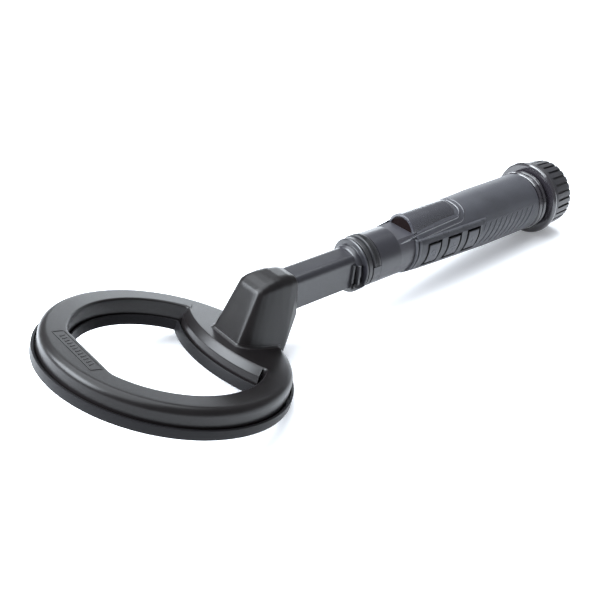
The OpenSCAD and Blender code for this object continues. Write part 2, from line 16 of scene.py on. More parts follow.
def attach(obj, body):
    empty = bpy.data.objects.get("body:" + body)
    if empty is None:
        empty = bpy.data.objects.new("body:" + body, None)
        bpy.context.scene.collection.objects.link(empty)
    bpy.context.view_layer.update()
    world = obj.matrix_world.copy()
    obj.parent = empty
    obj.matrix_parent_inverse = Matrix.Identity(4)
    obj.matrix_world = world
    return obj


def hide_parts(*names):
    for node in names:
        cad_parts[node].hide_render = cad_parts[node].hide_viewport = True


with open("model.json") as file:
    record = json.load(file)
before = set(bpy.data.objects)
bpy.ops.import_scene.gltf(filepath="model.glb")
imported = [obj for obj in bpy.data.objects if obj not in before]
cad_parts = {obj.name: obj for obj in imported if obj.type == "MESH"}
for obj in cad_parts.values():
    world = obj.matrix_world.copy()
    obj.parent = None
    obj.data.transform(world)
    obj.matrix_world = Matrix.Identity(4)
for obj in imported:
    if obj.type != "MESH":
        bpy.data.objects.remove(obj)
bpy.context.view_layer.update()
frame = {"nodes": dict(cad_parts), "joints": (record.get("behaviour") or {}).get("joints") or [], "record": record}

MM = 0.001

# ---------- driving dimensions in mm; the neck has more sections here than in the CAD part ----------

COVER_R, COVER_RIM, FLOOR = 80.0, 6.4, 2.4
SHELL_R, SHELL_TOP, SHELL_EDGE = 77.2, 17.4, 4.6
OPEN_R, CHORD_X = 60.5, 55.0
LOBE_X, LOBE_TOP_R, LOBE_LOW_R, LOBE_LOW_Z = 125.8, 93.5, 96.4, 12.2
AXIS_Z, TILT = 25.8, math.radians(16)
# Pedestal: foot outline as (x, half width); crown sections as (x, half width, top, corner radius).
NECK_FOOT = [(41.8, 13.0), (44.6, 15.4), (48.4, 17.4), (52.4, 18.5), (57.0, 19.2), (66.0, 19.6),
             (77.8, 19.6)]
NECK_CROWN = [(49.7, 8.6, 50.4, 3.0), (50.4, 10.6, 52.4, 3.6), (52.4, 12.0, 54.9, 4.4),
              (56.2, 12.7, 57.3, 5.6), (61.7, 13.0, 59.6, 6.8), (67.3, 12.9, 61.2, 7.4),
              (75.6, 12.3, 62.1, 7.6)]
SEAM_S, FLARE_S, COLLAR_S1, COLLAR_R, CHIN_R = 87.5, 141.4, 143.4, 17.9, 18.7
ARM_HALF, ARM_TOP, ARM_LOW, ARM_EDGE = 10.2, 11.5, 12.1, 5.4
RING_BORE, THUMB_R, THUMB_S0, THUMB_S1 = 15.45, 18.6, 148.8, 154.4
FLAT_S1, POD_S1, ARCH_R, ARCH_H = 189.6, 236.0, 12.9, 11.4
RUBBER_S0, RUBBER_S1, GRIP_R = 184.0, 321.5, 22.5
BODY_R, NECK_R = 18.0, 20.0
LIP_S1, CAP_S1, CAP_R, CAP_BORE = 336.4, 357.8, 26.6, 20.06
KEY_S, KEY_W, KEY_PITCH, KEY_COUNT = 204.0, 13.8, 19.9, 3
KEY_TOP, KEY_LOW, KEY_LEAN, KEY_GAP = 7.0, -10.0, 4.0, 1.5
# Radius of the rubber grip's skin at stations along the handle.
SKIN_S = [184, 197, 221, 256, 270, 322]
SKIN_R = [18.95, 20.0, 20.95, 22.0, 22.5, 22.5]
UNDERSIDE_X, TWIST_S = 50.0, 149.0      # local places of the underside mount and the twist joint
WELD, COLLAPSE = 0.005 * MM, 0.003 * MM     # distances that merge points and drop slivers
NORMAL_WEIGHT, NODE_SHARP = 70, 30

# ---------- local frames ----------

joints = {j["name"]: j for j in frame["joints"]}
mounts = {m["name"]: m for m in frame["record"]["mounts"]}


def local_frame(origin, ex, ez):
    """Matrix from local millimetres to the row's metres."""
    ey = ez.cross(ex)
    turn = Matrix((ex, ey, ez)).transposed().to_4x4()
    return Matrix.Translation(origin) @ turn @ Matrix.Scale(MM, 4)


coil_up = -Vector(mounts["coil_underside"]["axis"]).normalized()
coil_x = Vector((coil_up.z, 0, -coil_up.x))
COIL = local_frame(Vector(mounts["coil_underside"]["pos_m"]) - coil_x * UNDERSIDE_X * MM, coil_x, coil_up)

axis = Vector(joints["cap_turn"]["axis"]).normalized()
HANDLE = local_frame(
    Vector(joints["collar_twist"]["pos_m"]) - axis * TWIST_S * MM, axis, Vector((-axis.z, 0, axis.x)))


def round_handle(s, r, phi):
    """Handle-frame point or grid at station s, radius r and angle phi in degrees."""
    a = np.radians(phi)
    s, y, h = np.broadcast_arrays(s, -r * np.sin(a), r * np.cos(a))
    return np.stack([s, y, h], axis=-1).astype(float)


def in_coil(points):
    """Handle-frame points given in the coil's frame."""
    p = np.asarray(points, float)
    x = p[..., 0] * math.cos(TILT) - p[..., 2] * math.sin(TILT)
    z = AXIS_Z + p[..., 0] * math.sin(TILT) + p[..., 2] * math.cos(TILT)
    return np.stack([x, p[..., 1], z], axis=-1)


# ---------- mesh helpers ----------

def grid_faces(n, m, wrap_n, wrap_m, base=0, flip=False):
    faces = []
    for i in range(n if wrap_n else n - 1):
        for j in range(m if wrap_m else m - 1):
            k, l = (i + 1) % n, (j + 1) % m
            f = (base + i * m + j, base + i * m + l, base + k * m + l, base + k * m + j)
            faces.append(f[::-1] if flip else f)
    return faces


def torus_mesh(rows):
    """Closed in both directions."""
    n, m = rows.shape[:2]
    return rows.reshape(-1, 3), grid_faces(n, m, True, True)


def tube_mesh(rows):
    """Rings of points joined in order, closed by a cap at each end."""
    n, m = rows.shape[:2]
    faces = grid_faces(n, m, False, True)
    faces.append(tuple(range(m))[::-1])
    faces.append(tuple(range((n - 1) * m, n * m)))
    return rows.reshape(-1, 3), faces


def slab_mesh(outer, inner, wrap=False):
    """Solid between two grids of the same shape, closed round their borders."""
    n, m = outer.shape[:2]
    size = n * m
    faces = grid_faces(n, m, False, wrap) + grid_faces(n, m, False, wrap, size, flip=True)
    for j in range(m if wrap else m - 1):
        l = (j + 1) % m
        faces.append((l, j, size + j, size + l))
        a = (n - 1) * m
        faces.append((a + j, a + l, size + a + l, size + a + j))
    if not wrap:
        for i in range(n - 1):
            a, b = i * m, (i + 1) * m
            faces.append((a, b, size + b, size + a))
            c, d = a + m - 1, b + m - 1
            faces.append((d, c, size + c, size + d))
    return np.concatenate([outer.reshape(-1, 3), inner.reshape(-1, 3)]), faces


def join(*meshes):
    """Several (points, faces) as one."""
    points, faces, base = [], [], 0
    for p, f in meshes:
        points.append(np.asarray(p, float))
        faces += [tuple(base + i for i in face) for face in f]
        base += len(p)
    return np.concatenate(points), faces


def softened(profile, radius, steps=4):
    """Closed outline with its corners rounded by arcs."""
    p = [np.array(q, float) for q in profile]
    out = []
    for i, b in enumerate(p):
        a, c = p[i - 1], p[(i + 1) % len(p)]
        u, v = a - b, c - b
        lu, lv = np.linalg.norm(u), np.linalg.norm(v)
        u, v = u / lu, v / lv
        half = math.acos(max(-1, min(1, float(u @ v)))) / 2
        reach = min(radius / max(math.tan(half), 1e-3), lu * 0.45, lv * 0.45)
        for k in range(steps + 1):
            t = k / steps
            out.append(b + u * reach * (1 - t) ** 2 + v * reach * t ** 2)
    return np.array(out)


def lathe(profile, count=160):
    """Closed (s, r) profile turned about the handle's axis."""
    phi = np.linspace(0, 360, count, endpoint=False)
    p = np.asarray(profile, float)
    return torus_mesh(round_handle(p[:, :1], p[:, 1:2], phi[None, :]))


def smooth_step(a, b, x):
    t = np.clip((np.asarray(x, float) - a) / (b - a), 0, 1)
    return t * t * (3 - 2 * t)


def local_data(name, mesh, local):
    """Mesh data from local (points, faces)."""
    points, faces = mesh
    data = bpy.data.meshes.new(name)
    data.from_pydata([tuple(p) for p in points], [], faces)
    data.transform(local)
    return data


def clean(data, weld=True, collapse=True):
    """Merges doubled points, drops slivers and turns all faces outwards."""
    bm = bmesh.new()
    bm.from_mesh(data)
    if weld:
        bmesh.ops.remove_doubles(bm, verts=bm.verts, dist=WELD)
    if collapse:
        bmesh.ops.dissolve_degenerate(bm, edges=bm.edges, dist=COLLAPSE)
    bmesh.ops.recalc_face_normals(bm, faces=bm.faces)
    bm.to_mesh(data)
    bm.free()


def linked(name, data):
    obj = bpy.data.objects.new(name, data)
    bpy.context.scene.collection.objects.link(obj)
    return obj


def mark(data, name, values):
    """Stores one number per point as a mesh attribute that a material reads."""
    data.attributes.new(name, "FLOAT", "POINT").data.foreach_set("value", np.asarray(values, np.float32))


def new_piece(name, mesh, local, body, slot, replaces=(), sharp=38, groove=None, material=None):
    """Piece from local points and faces, riding on a CAD body; the given values paint shade on its points,
    near-black where shade falls in gaps.
    """
    data = local_data(name, mesh, local)
    if groove is not None:
        mark(data, "groove", groove)
    clean(data)
    obj = linked(name, data)
    finish_piece(obj, body, slot, replaces, sharp, material=material)
    return obj


def finish_piece(obj, body, slot, replaces=(), sharp=38, weighted=True, material=None):
    """Material, shading and body of a piece; the material is the slot's unless one is given."""
    obj.data.materials.clear()
    obj.data.materials.append(material or mats[slot])
    obj.data.shade_smooth()
    obj.data.set_sharp_from_angle(angle=math.radians(sharp))
    if weighted:
        mod = obj.modifiers.new("weighted", "WEIGHTED_NORMAL")
        mod.keep_sharp = True
        mod.weight = NORMAL_WEIGHT
    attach(obj, body)
    if replaces:
        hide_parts(*replaces)


def baked(obj):
    """Replaces an object's mesh by what its modifiers make of it."""
    bpy.context.view_layer.update()
    made = bpy.data.meshes.new_from_object(obj.evaluated_get(bpy.context.evaluated_depsgraph_get()))
    obj.modifiers.clear()
    obj.data = made


def cut(obj, cutter_mesh, local):
    """Takes a closed mesh away from a piece."""
    data = local_data("cutter", cutter_mesh, local)
    clean(data, weld=False, collapse=False)
    cutter = linked("cutter", data)
    obj.modifiers.clear()
    mod = obj.modifiers.new("cut", "BOOLEAN")
    mod.operation, mod.solver, mod.object = "DIFFERENCE", "EXACT", cutter
    baked(obj)
    bpy.data.objects.remove(cutter)


def box_mesh(lo, hi, radius=0.0):
    """Box between two corners, its upright edges rounded."""
    outline = [(lo[0], lo[1]), (hi[0], lo[1]), (hi[0], hi[1]), (lo[0], hi[1])]
    flat = softened(outline, radius) if radius else np.array(outline, float)
    rows = [np.column_stack([flat, np.full(len(flat), z)]) for z in (lo[2], hi[2])]
    return tube_mesh(np.array(rows))


# ---------- materials ----------

def nodes_of(name):
    mat = bpy.data.materials.new(name)
    mat.use_nodes = True
    return mat, mat.node_tree.nodes, mat.node_tree.links


def noise(nodes, links, coords, scale, detail, rough=0.6):
    n = nodes.new("ShaderNodeTexNoise")
    n.inputs["Scale"].default_value = scale
    n.inputs["Detail"].default_value = detail
    n.inputs["Roughness"].default_value = rough
    links.new(coords, n.inputs["Vector"])
    return n.outputs["Fac"]


def ramp(nodes, links, source, stops):
    """Colour between two stops (place, colour)."""
    r = nodes.new("ShaderNodeValToRGB")
    for element, (place, colour) in zip(r.color_ramp.elements, stops):
        element.position, element.color = place, (*colour, 1)
    links.new(source, r.inputs["Fac"])
    return r.outputs["Color"]


def spread(nodes, links, source, low, high):
    m = nodes.new("ShaderNodeMapRange")
    m.inputs["To Min"].default_value = low
    m.inputs["To Max"].default_value = high
    links.new(source, m.inputs["Value"])
    return m.outputs["Result"]


def shade(colour, factor):
    return tuple(min(1.0, c * factor) for c in colour)


CLOUD_SCALE, GRAIN_SCALE, MOTTLE = 55, 2600, 0.18
HIGHLIGHT_POINTINESS = (0.5, 0.56)                      # pointiness where the painted edge highlight begins and is full
# painted shade: the near-black put in gaps and recesses that fall into shade
GAP_SHADE_BLACK = (0.001, 0.001, 0.001)
COAT_ROUGHNESS, RELIEF_DEPTH = 0.18, 0.2 * MM


def mixed(nodes, links, factor, a, colour):
    """Colour a, turned to a constant colour by a factor."""
    mix = nodes.new("ShaderNodeMix")
    mix.data_type = "RGBA"
    links.new(factor, mix.inputs["Factor"])
    links.new(a, mix.inputs["A"])
    mix.inputs["B"].default_value = (*colour, 1)
    return mix.outputs["Result"]


def attribute(nodes, name):
    """A mesh attribute's value; it is 0 on meshes without it."""
    node = nodes.new("ShaderNodeAttribute")
    node.attribute_name = name
    return node.outputs["Fac"]


def moulded(name, colour, rough=(0.36, 0.5), bump=0.12, metallic=0.0, specular=0.5, edge=1.6,
            hatch=None, coat=0.0):
    """Moulded plastic, rubber or metal: mottled, grained, with a painted highlight along sharp edges and painted
    shade in marked gaps, maybe hatched.
    """
    mat, nodes, links = nodes_of(name)
    shader = nodes["Principled BSDF"]
    where = nodes.new("ShaderNodeTexCoord").outputs["Object"]
    cloud = noise(nodes, links, where, CLOUD_SCALE, 5)
    fine = noise(nodes, links, where, GRAIN_SCALE, 3)
    tone = ramp(nodes, links, cloud, [(0.3, shade(colour, 1 - MOTTLE)), (0.7, shade(colour, 1 + MOTTLE))])
    # painted highlight: the colour is lightened along sharp convex edges
    pointiness = nodes.new("ShaderNodeNewGeometry").outputs["Pointiness"]
    edges = ramp(nodes, links, pointiness, [(HIGHLIGHT_POINTINESS[0], (0, 0, 0)), (HIGHLIGHT_POINTINESS[1], (1, 1, 1))])
    base = mixed(nodes, links, edges, tone, shade(colour, edge))
    # painted shade: near-black where a mesh's painted-shade values are set
    base = mixed(nodes, links, attribute(nodes, "groove"), base, GAP_SHADE_BLACK)
    links.new(base, shader.inputs["Base Color"])
    links.new(spread(nodes, links, cloud, *rough), shader.inputs["Roughness"])
    shader.inputs["Metallic"].default_value = metallic
    shader.inputs["Specular IOR Level"].default_value = specular
    shader.inputs["Coat Weight"].default_value = coat
    shader.inputs["Coat Roughness"].default_value = COAT_ROUGHNESS
    relief = nodes.new("ShaderNodeBump")
    relief.inputs["Strength"].default_value = bump
    relief.inputs["Distance"].default_value = RELIEF_DEPTH
    links.new(hatched(nodes, links, fine, hatch) if hatch else fine, relief.inputs["Height"])
    links.new(relief.outputs["Normal"], shader.inputs["Normal"])
    return mat


def maths(nodes, links, operation, *values):
    """Math node on sockets or constants."""
    node = nodes.new("ShaderNodeMath")
    node.operation = operation
    for socket, value in zip(node.inputs, values):
        if isinstance(value, (int, float)):
            socket.default_value = value
        else:
            links.new(value, socket)
    return node.outputs["Value"]


HATCH_TURN, HATCH_WEIGHT = math.radians(52), 6.0


def hatched(nodes, links, fine, pitch):
    """Adds fine diagonal ribs of a pitch in mm to a height, where the mesh's 'hatch' attribute is 1."""
    uv = nodes.new("ShaderNodeUVMap")
    uv.uv_map = "wrap"
    turn = nodes.new("ShaderNodeMapping")
    turn.inputs["Rotation"].default_value = (0, 0, HATCH_TURN)
    links.new(uv.outputs["UV"], turn.inputs["Vector"])
    wave = nodes.new("ShaderNodeTexWave")
    wave.inputs["Scale"].default_value = 3.14 / pitch
    wave.inputs["Distortion"].default_value = 0.0
    links.new(turn.outputs["Vector"], wave.inputs["Vector"])
    ribs = maths(nodes, links, "MULTIPLY", wave.outputs["Fac"], attribute(nodes, "hatch"))
    return maths(nodes, links, "MULTIPLY_ADD", ribs, HATCH_WEIGHT, fine)


MATERIALS = {
    "shell_black": dict(colour=(0.0045, 0.0038, 0.004), rough=(0.27, 0.36), specular=0.24),
    "cover_black": dict(colour=(0.005, 0.0048, 0.0054), rough=(0.36, 0.48), specular=0.1),
    "collar_black": dict(colour=(0.012, 0.0118, 0.013), rough=(0.32, 0.44)),
    "pod_black": dict(colour=(0.021, 0.021, 0.026), rough=(0.22, 0.3), bump=0.05, specular=1.0),
    "window_smoke": dict(colour=(0.004, 0.0022, 0.0022), rough=(0.1, 0.16), bump=0.02, specular=0.05),
    "bezel_black": dict(colour=(0.024, 0.0245, 0.029), rough=(0.4, 0.52)),
    "button_grey": dict(colour=(0.034, 0.0345, 0.041), rough=(0.4, 0.52), edge=1.5),
    "grip_rubber": dict(colour=(0.029, 0.0295, 0.0355), rough=(0.44, 0.58), hatch=1.1, bump=0.35),
    "bead_gloss": dict(colour=(0.010, 0.009, 0.011), rough=(0.1, 0.16), bump=0.02, coat=0.6),
    "cap_black": dict(colour=(0.016, 0.0156, 0.018), rough=(0.32, 0.44)),
    "former_cream": dict(colour=(0.62, 0.54, 0.34)),
    "copper_wire": dict(colour=(0.55, 0.22, 0.08), metallic=0.9, rough=(0.25, 0.35)),
    "screw_steel": dict(colour=(0.5, 0.5, 0.52), metallic=1.0, rough=(0.25, 0.4)),
    "cable_black": dict(colour=(0.02, 0.02, 0.02), rough=(0.5, 0.6)),
    "contact_brass": dict(colour=(0.7, 0.5, 0.2), metallic=1.0, rough=(0.2, 0.35)),
    "seal_rubber": dict(colour=(0.012, 0.012, 0.012), rough=(0.45, 0.55)),
    "led_clear": dict(colour=(0.8, 0.8, 0.72), rough=(0.1, 0.2), bump=0.02),
    "speaker_grey": dict(colour=(0.12, 0.12, 0.13)),
    "switch_white": dict(colour=(0.6, 0.6, 0.56)),
    "board_green": dict(colour=(0.03, 0.14, 0.06), rough=(0.3, 0.4)),
    "chip_black": dict(colour=(0.02, 0.02, 0.02), rough=(0.4, 0.5)),
    "lead_red": dict(colour=(0.35, 0.03, 0.02), rough=(0.35, 0.45)),
    "cell_jacket": dict(colour=(0.35, 0.2, 0.05), rough=(0.25, 0.35)),
}
mats = {slot: moulded(slot, **options) for slot, options in MATERIALS.items()}
# The arm, the front sleeve and the body share the coil's slot, but are painted lighter than it: lighter copies of
# its black that stand in for the extra light these parts catch.
body_lit_grey = moulded("body_lit_grey", colour=(0.021, 0.0205, 0.024), rough=(0.36, 0.46))
arm_lit_black = moulded("arm_lit_black", colour=(0.011, 0.0108, 0.0135), rough=(0.27, 0.36), specular=0.5)
PAINTED_LIGHT_COPIES = {"body_shell": body_lit_grey, "front_sleeve": arm_lit_black}

for row in frame["record"]["subparts"]:
    node = frame["nodes"][row["node"]]
    node.data.materials.clear()
    node.data.materials.append(PAINTED_LIGHT_COPIES.get(row["node"], mats[row["material_slot"]]))
    node.data.shade_smooth()
    node.data.set_sharp_from_angle(angle=math.radians(NODE_SHARP))


# ---------- coil ----------

def opening_outline(lobe_r, step=0.75, blend=2.0):
    """Closed D-shaped outline, counter-clockwise, its corners blended; also the lobe's corner height."""
    cx = (OPEN_R ** 2 - lobe_r ** 2 + LOBE_X ** 2) / (2 * LOBE_X)
    cy = math.sqrt(OPEN_R ** 2 - cx ** 2)
    fy = math.sqrt(OPEN_R ** 2 - CHORD_X ** 2)
    reach = math.asin(cy / lobe_r)
    a0, a1 = math.atan2(cy, cx), math.atan2(fy, -CHORD_X)
    fine = 0.1

    def circle(x, r, start, end):
        t = np.linspace(start, end, int(abs(end - start) * r / fine), endpoint=False)
        return np.column_stack([x + r * np.cos(t), r * np.sin(t)])

    chord = np.column_stack([np.full(int(2 * fy / fine), -CHORD_X), np.linspace(fy, -fy, int(2 * fy / fine))])
    path = np.concatenate([
        circle(LOBE_X, lobe_r, math.pi + reach, math.pi - reach),
        circle(0, OPEN_R, a0, a1), chord, circle(0, OPEN_R, -a1, -a0)])
    half = int(blend / fine)
    kernel = np.ones(2 * half + 1) / (2 * half + 1)
    for _ in range(2):
        padded = np.concatenate([path[-half:], path, path[:half]])
        path = np.column_stack([np.convolve(padded[:, k], kernel, "valid") for k in range(2)])
    return path[::int(step / fine)], cy


def inward(path):
    """Unit normals of a counter-clockwise outline that point into it."""
    t = np.roll(path, -1, axis=0) - np.roll(path, 1, axis=0)
    t /= np.linalg.norm(t, axis=1)[:, None]
    return np.column_stack([-t[:, 1], t[:, 0]])


def offset_rows(path, normals, profile):
    """One row of points for each (inward offset, height) of a profile."""
    return [np.column_stack([path + normals * d, np.full(len(path), z)]) for d, z in profile]


def round_rows(path, profile):
    """The same along circles of radius r about the coil's centre, at the path's own angles."""
    a = np.arctan2(path[:, 1], path[:, 0])
    return [np.column_stack([r * np.cos(a), r * np.sin(a), np.full(len(path), z)]) for r, z in profile]


def arc_points(cx, cy, r, start, end, steps):
    t = np.radians(np.linspace(start, end, steps + 1))
    return [(cx + r * math.cos(a), cy + r * math.sin(a)) for a in t]


def shell_ring():
    """Upper coil shell: rounded outer edge, sloping band along the rear lobe, squared band ends."""
    path, corner_y = opening_outline(LOBE_TOP_R)
    normals = inward(path)
    band = (path[:, 0] > 0) & (np.abs(path[:, 1]) < corner_y - 2.4)
    wide = LOBE_LOW_R - LOBE_TOP_R
    plain = [(0, FLOOR + 0.6), (0, 10), (0, SHELL_TOP - 3.2)]
    plain += [(-(1.3 - 1.3 * math.cos(a)), SHELL_TOP - 1.3 + 1.3 * math.sin(a))
              for a in np.radians([0, 18, 36, 54, 72, 90])]
    plain += [(-1.9, SHELL_TOP)]
    sloped = [(wide, FLOOR + 0.6), (wide, LOBE_LOW_Z - 1.0), (wide, LOBE_LOW_Z - 0.45),
              (wide - 0.12, LOBE_LOW_Z), (wide - 0.5, LOBE_LOW_Z + 0.62),
              (wide * 0.5, (SHELL_TOP + LOBE_LOW_Z) / 2), (0.6, SHELL_TOP - 1.15), (0.2, SHELL_TOP - 0.45),
              (-0.25, SHELL_TOP - 0.06), (-0.9, SHELL_TOP)]
    columns, on_band = [], []
    for i in range(len(path)):
        if band[i] != band[i - 1]:      # a doubled column makes the band's squared end
            columns.append(i)
            on_band.append(band[i - 1])
        columns.append(i)
        on_band.append(band[i])
    p, n, on = path[columns], normals[columns], np.array(on_band)
    rows = []
    for (d0, z0), (d1, z1) in zip(plain, sloped):
        d, z = np.where(on, d1, d0), np.where(on, z1, z0)
        rows.append(np.column_stack([p + n * d[:, None], z]))
    edge_r = SHELL_R - SHELL_EDGE
    outer = [(edge_r - 1.2, SHELL_TOP)]
    outer += [(x, z) for x, z in arc_points(edge_r, SHELL_TOP - SHELL_EDGE, SHELL_EDGE, 90, 0, 10)]
    outer += [(SHELL_R, 8), (SHELL_R, FLOOR + 0.6)]
    return torus_mesh(np.array(rows + round_rows(p, outer)))


def cover_tray():
    """Lower cover: outer rim, hidden floor, and an inner wall that leans in towards its foot."""
    path, _ = opening_outline(LOBE_LOW_R)
    normals = inward(path)
    inner = [(3.3, 0.0), (3.6, 0.35), (3.5, 0.9), (2.0, COVER_RIM - 0.35), (1.85, COVER_RIM - 0.1),
             (1.6, COVER_RIM), (1.25, COVER_RIM), (1.05, COVER_RIM - 0.15), (1.0, COVER_RIM - 0.4),
             (1.0, FLOOR)]
    outer = [(COVER_R - 1.8, FLOOR), (COVER_R - 1.8, COVER_RIM - 0.4), (COVER_R - 1.65, COVER_RIM - 0.1),
             (COVER_R - 1.3, COVER_RIM), (COVER_R - 0.5, COVER_RIM), (COVER_R - 0.12, COVER_RIM - 0.14),
             (COVER_R, COVER_RIM - 0.5), (COVER_R, 0.9), (COVER_R - 0.2, 0.3), (COVER_R - 0.75, 0.0)]
    return torus_mesh(np.array(offset_rows(path, normals, inner) + round_rows(path, outer)))


def neck_outline():
    """Outline of the pedestal's foot, counter-clockwise."""
    return convex_outline(softened(NECK_FOOT + [(x, -y) for x, y in NECK_FOOT[::-1]], 2.6, 5))


def neck_points():
    """Sections whose hull is the pedestal between the coil and the arm, in the coil's frame."""
    lip, low_r = 0.5, 1.5
    foot = neck_outline()
    sections = [np.column_stack([foot, np.full(len(foot), z)]) for z in (SHELL_TOP - 4, SHELL_TOP + 0.5)]
    for side in (-1, 1):
        for x, half, top, r in NECK_CROWN:
            section = arc_points(half - r, top - r, r, 0, 90, 8)
            sections.append(np.array([(x, side * y, z) for y, z in section]))
        top = [(SEAM_S, side * (y + lip), h + lip)
               for y, h in arc_points(ARM_HALF - ARM_EDGE, ARM_TOP - ARM_EDGE, ARM_EDGE, 0, 90, 8)]
        low = [(SEAM_S, side * (y + lip), h)
               for y, h in arc_points(ARM_HALF - low_r, -ARM_LOW - 1.0 - low_r, low_r, -90, 0, 4)]
        sections.append(in_coil(top + low))
    return np.concatenate(sections)


def hull_piece(name, points, local, voxel, rounds):
    """Convex hull, evened out by a voxel remesh and smoothed."""
    bm = bmesh.new()
    for p in points:
        bm.verts.new(local @ Vector(p))
    made = bmesh.ops.convex_hull(bm, input=bm.verts)
    loose = {v for v in made["geom_interior"] + made["geom_unused"] if isinstance(v, bmesh.types.BMVert)}
    bmesh.ops.delete(bm, geom=list(loose), context="VERTS")
    data = bpy.data.meshes.new(name)
    bm.to_mesh(data)
    bm.free()
    obj = linked(name, data)
    even = obj.modifiers.new("even", "REMESH")
    even.mode, even.voxel_size = "VOXEL", voxel
    soft = obj.modifiers.new("soft", "SMOOTH")
    soft.factor, soft.iterations = 0.5, rounds
    baked(obj)
    return obj


def convex_outline(points):
    """Convex hull of 2-D points, counter-clockwise."""
    pts = sorted(map(tuple, points))

    def half(seq):
        out = []
        for p in seq:
            while len(out) > 1 and ((out[-1][0] - out[-2][0]) * (p[1] - out[-2][1])
                                    - (out[-1][1] - out[-2][1]) * (p[0] - out[-2][0])) <= 0:
                out.pop()
            out.append(p)
        return out[:-1]

    return np.array(half(pts) + half(pts[::-1]))


def even_path(path, step):
    """Closed outline with points at an even spacing."""
    closed = np.vstack([path, path[:1]])
    lengths = np.concatenate([[0], np.cumsum(np.linalg.norm(np.diff(closed, axis=0), axis=1))])
    at = np.arange(0, lengths[-1], step)
    return np.column_stack([np.interp(at, lengths, closed[:, k]) for k in range(2)])


def shell_height(x, y):
    """Height of the coil shell's top surface, over its rounded outer edge too."""
    past = np.clip(np.hypot(x, y) - (SHELL_R - SHELL_EDGE), 0, SHELL_EDGE * 0.98)
    return SHELL_TOP - SHELL_EDGE + np.sqrt(SHELL_EDGE ** 2 - past ** 2)


def neck_fillet(radius=2.0):
    """Concave fillet round the pedestal's foot, lying on the shell."""
    path = even_path(neck_outline(), 0.7)
    out = -inward(path)
    profile = [(radius * (1 - math.sin(a)), radius * (1 - math.cos(a))) for a in np.radians(range(0, 91, 15))]
    profile += [(-1.6, radius), (-1.6, -1.0), (radius, -1.0)]
    rows = []
    for d, lift in profile:
        room = np.clip((SHELL_R - 2.2 - np.hypot(path[:, 0], path[:, 1])) / 3, 0, 1) if d > 0 else 1.0
        p = path + out * d * np.reshape(room, (-1, 1))
        rows.append(np.column_stack([p, shell_height(p[:, 0], p[:, 1]) + lift]))
    return torus_mesh(np.array(rows))


PLATE_X, PLATE_Y, PLATE_LINE = (-65.2, -57.2), (-20.0, 26.0), 0.55
BAR_COUNT, BAR_PITCH, BAR_LEAN, BAR_WIDTH, BAR_INSET = 12, 3.1, 1.4, 1.0, 2.2


def nameplate():
    """Low frame with a plain row of slanted bars on the coil's front chord."""
    z0, z1 = SHELL_TOP - 0.3, SHELL_TOP + 0.22
    (x0, x1), (y0, y1), w = PLATE_X, PLATE_Y, PLATE_LINE

    def bar(corners):
        flat = np.array(corners, float)
        middle = flat.mean(axis=0)
        rows = []
        for z, f in ((z0, 1), (z1 - 0.08, 1), (z1, 0.9)):
            rows.append(np.column_stack([middle + (flat - middle) * f, np.full(4, z)]))
        return tube_mesh(np.array(rows))

    def straight(a, b):
        return bar([(a[0], a[1]), (b[0], a[1]), (b[0], b[1]), (a[0], b[1])])

    parts = [straight((x0, y0), (x0 + w, y1)), straight((x1 - w, y0), (x1, y1)),
             straight((x0 + w, y0), (x1 - w, y0 + w)), straight((x0 + w, y1 - w), (x1 - w, y1))]
    left, right = x0 + BAR_INSET, x1 - BAR_INSET
    for i in range(BAR_COUNT):
        y = y0 + 5 + BAR_PITCH * i
        far = y + BAR_LEAN
        parts.append(bar([(left, y), (right, far), (right, far + BAR_WIDTH), (left, y + BAR_WIDTH)]))
    return join(*parts)


SCREW_PLACES, SCREW_SINK_R, SCREW_SINK_TOP = ((-60, 13), (-60, -13), (46, 29), (46, -29)), 2.8, 1.7


def disc_mesh(middle, radius, levels, step, upright=True):
    """Cylinder about an upright axis through (x, y), or a level axis through (s, h)."""
    a = np.radians(np.arange(0, 360, step))
    u, v = middle[0] + radius * np.cos(a), middle[1] + radius * np.sin(a)
    rows = [(u, v, np.full(len(a), w)) if upright else (u, np.full(len(a), w), v) for w in levels]
    return tube_mesh(np.array([np.column_stack(row) for row in rows]))


def build_coil():
    new_piece("coil_shell_ring", join(shell_ring(), neck_fillet(), nameplate()), COIL, "coil_unit",
              "shell_black", ["coil_shell"], sharp=32)
    neck = hull_piece("coil_shell_neck", neck_points(), COIL, 0.6 * MM, 12)
    finish_piece(neck, "coil_unit", "shell_black", sharp=60, weighted=False)
    tray = new_piece("coil_cover_tray", cover_tray(), COIL, "coil_unit", "cover_black", ["coil_cover"])
    for place in SCREW_PLACES:
        cut(tray, disc_mesh(place, SCREW_SINK_R, (-1, SCREW_SINK_TOP), 12), COIL)
    finish_piece(tray, "coil_unit", "cover_black")


# ---------- arm ----------

def arm_section(half, top, low, r_top, r_low, steps=6):
    """Rounded section as (y, h) points, counter-clockwise."""
    corners = [(half - r_top, top - r_top, r_top, 0), (-half + r_top, top - r_top, r_top, 90),
               (-half + r_low, -low + r_low, r_low, 180), (half - r_low, -low + r_low, r_low, 270)]
    return [q for y, h, r, a in corners for q in arc_points(y, h, r, a, a + 90, steps)]


def arm_bar():
    """Box arm that runs into the collar's flange."""
    stations = [SEAM_S - 0.6, SEAM_S + 0.6, SEAM_S + 4] + list(np.linspace(SEAM_S + 12, COLLAR_S1 - 1, 9))
    section = arm_section(ARM_HALF, ARM_TOP, ARM_LOW, ARM_EDGE, 1.4)
    return tube_mesh(np.array([[(s, y, h) for y, h in section] for s in stations]))


FLARE_LONG, FLARE_R, FLARE_DEEP = 4.4, 14.4, 3.4
CHIN_S0, CHIN_SPREAD = 134.8, 57        # the chin's front, and degrees to either side of straight down
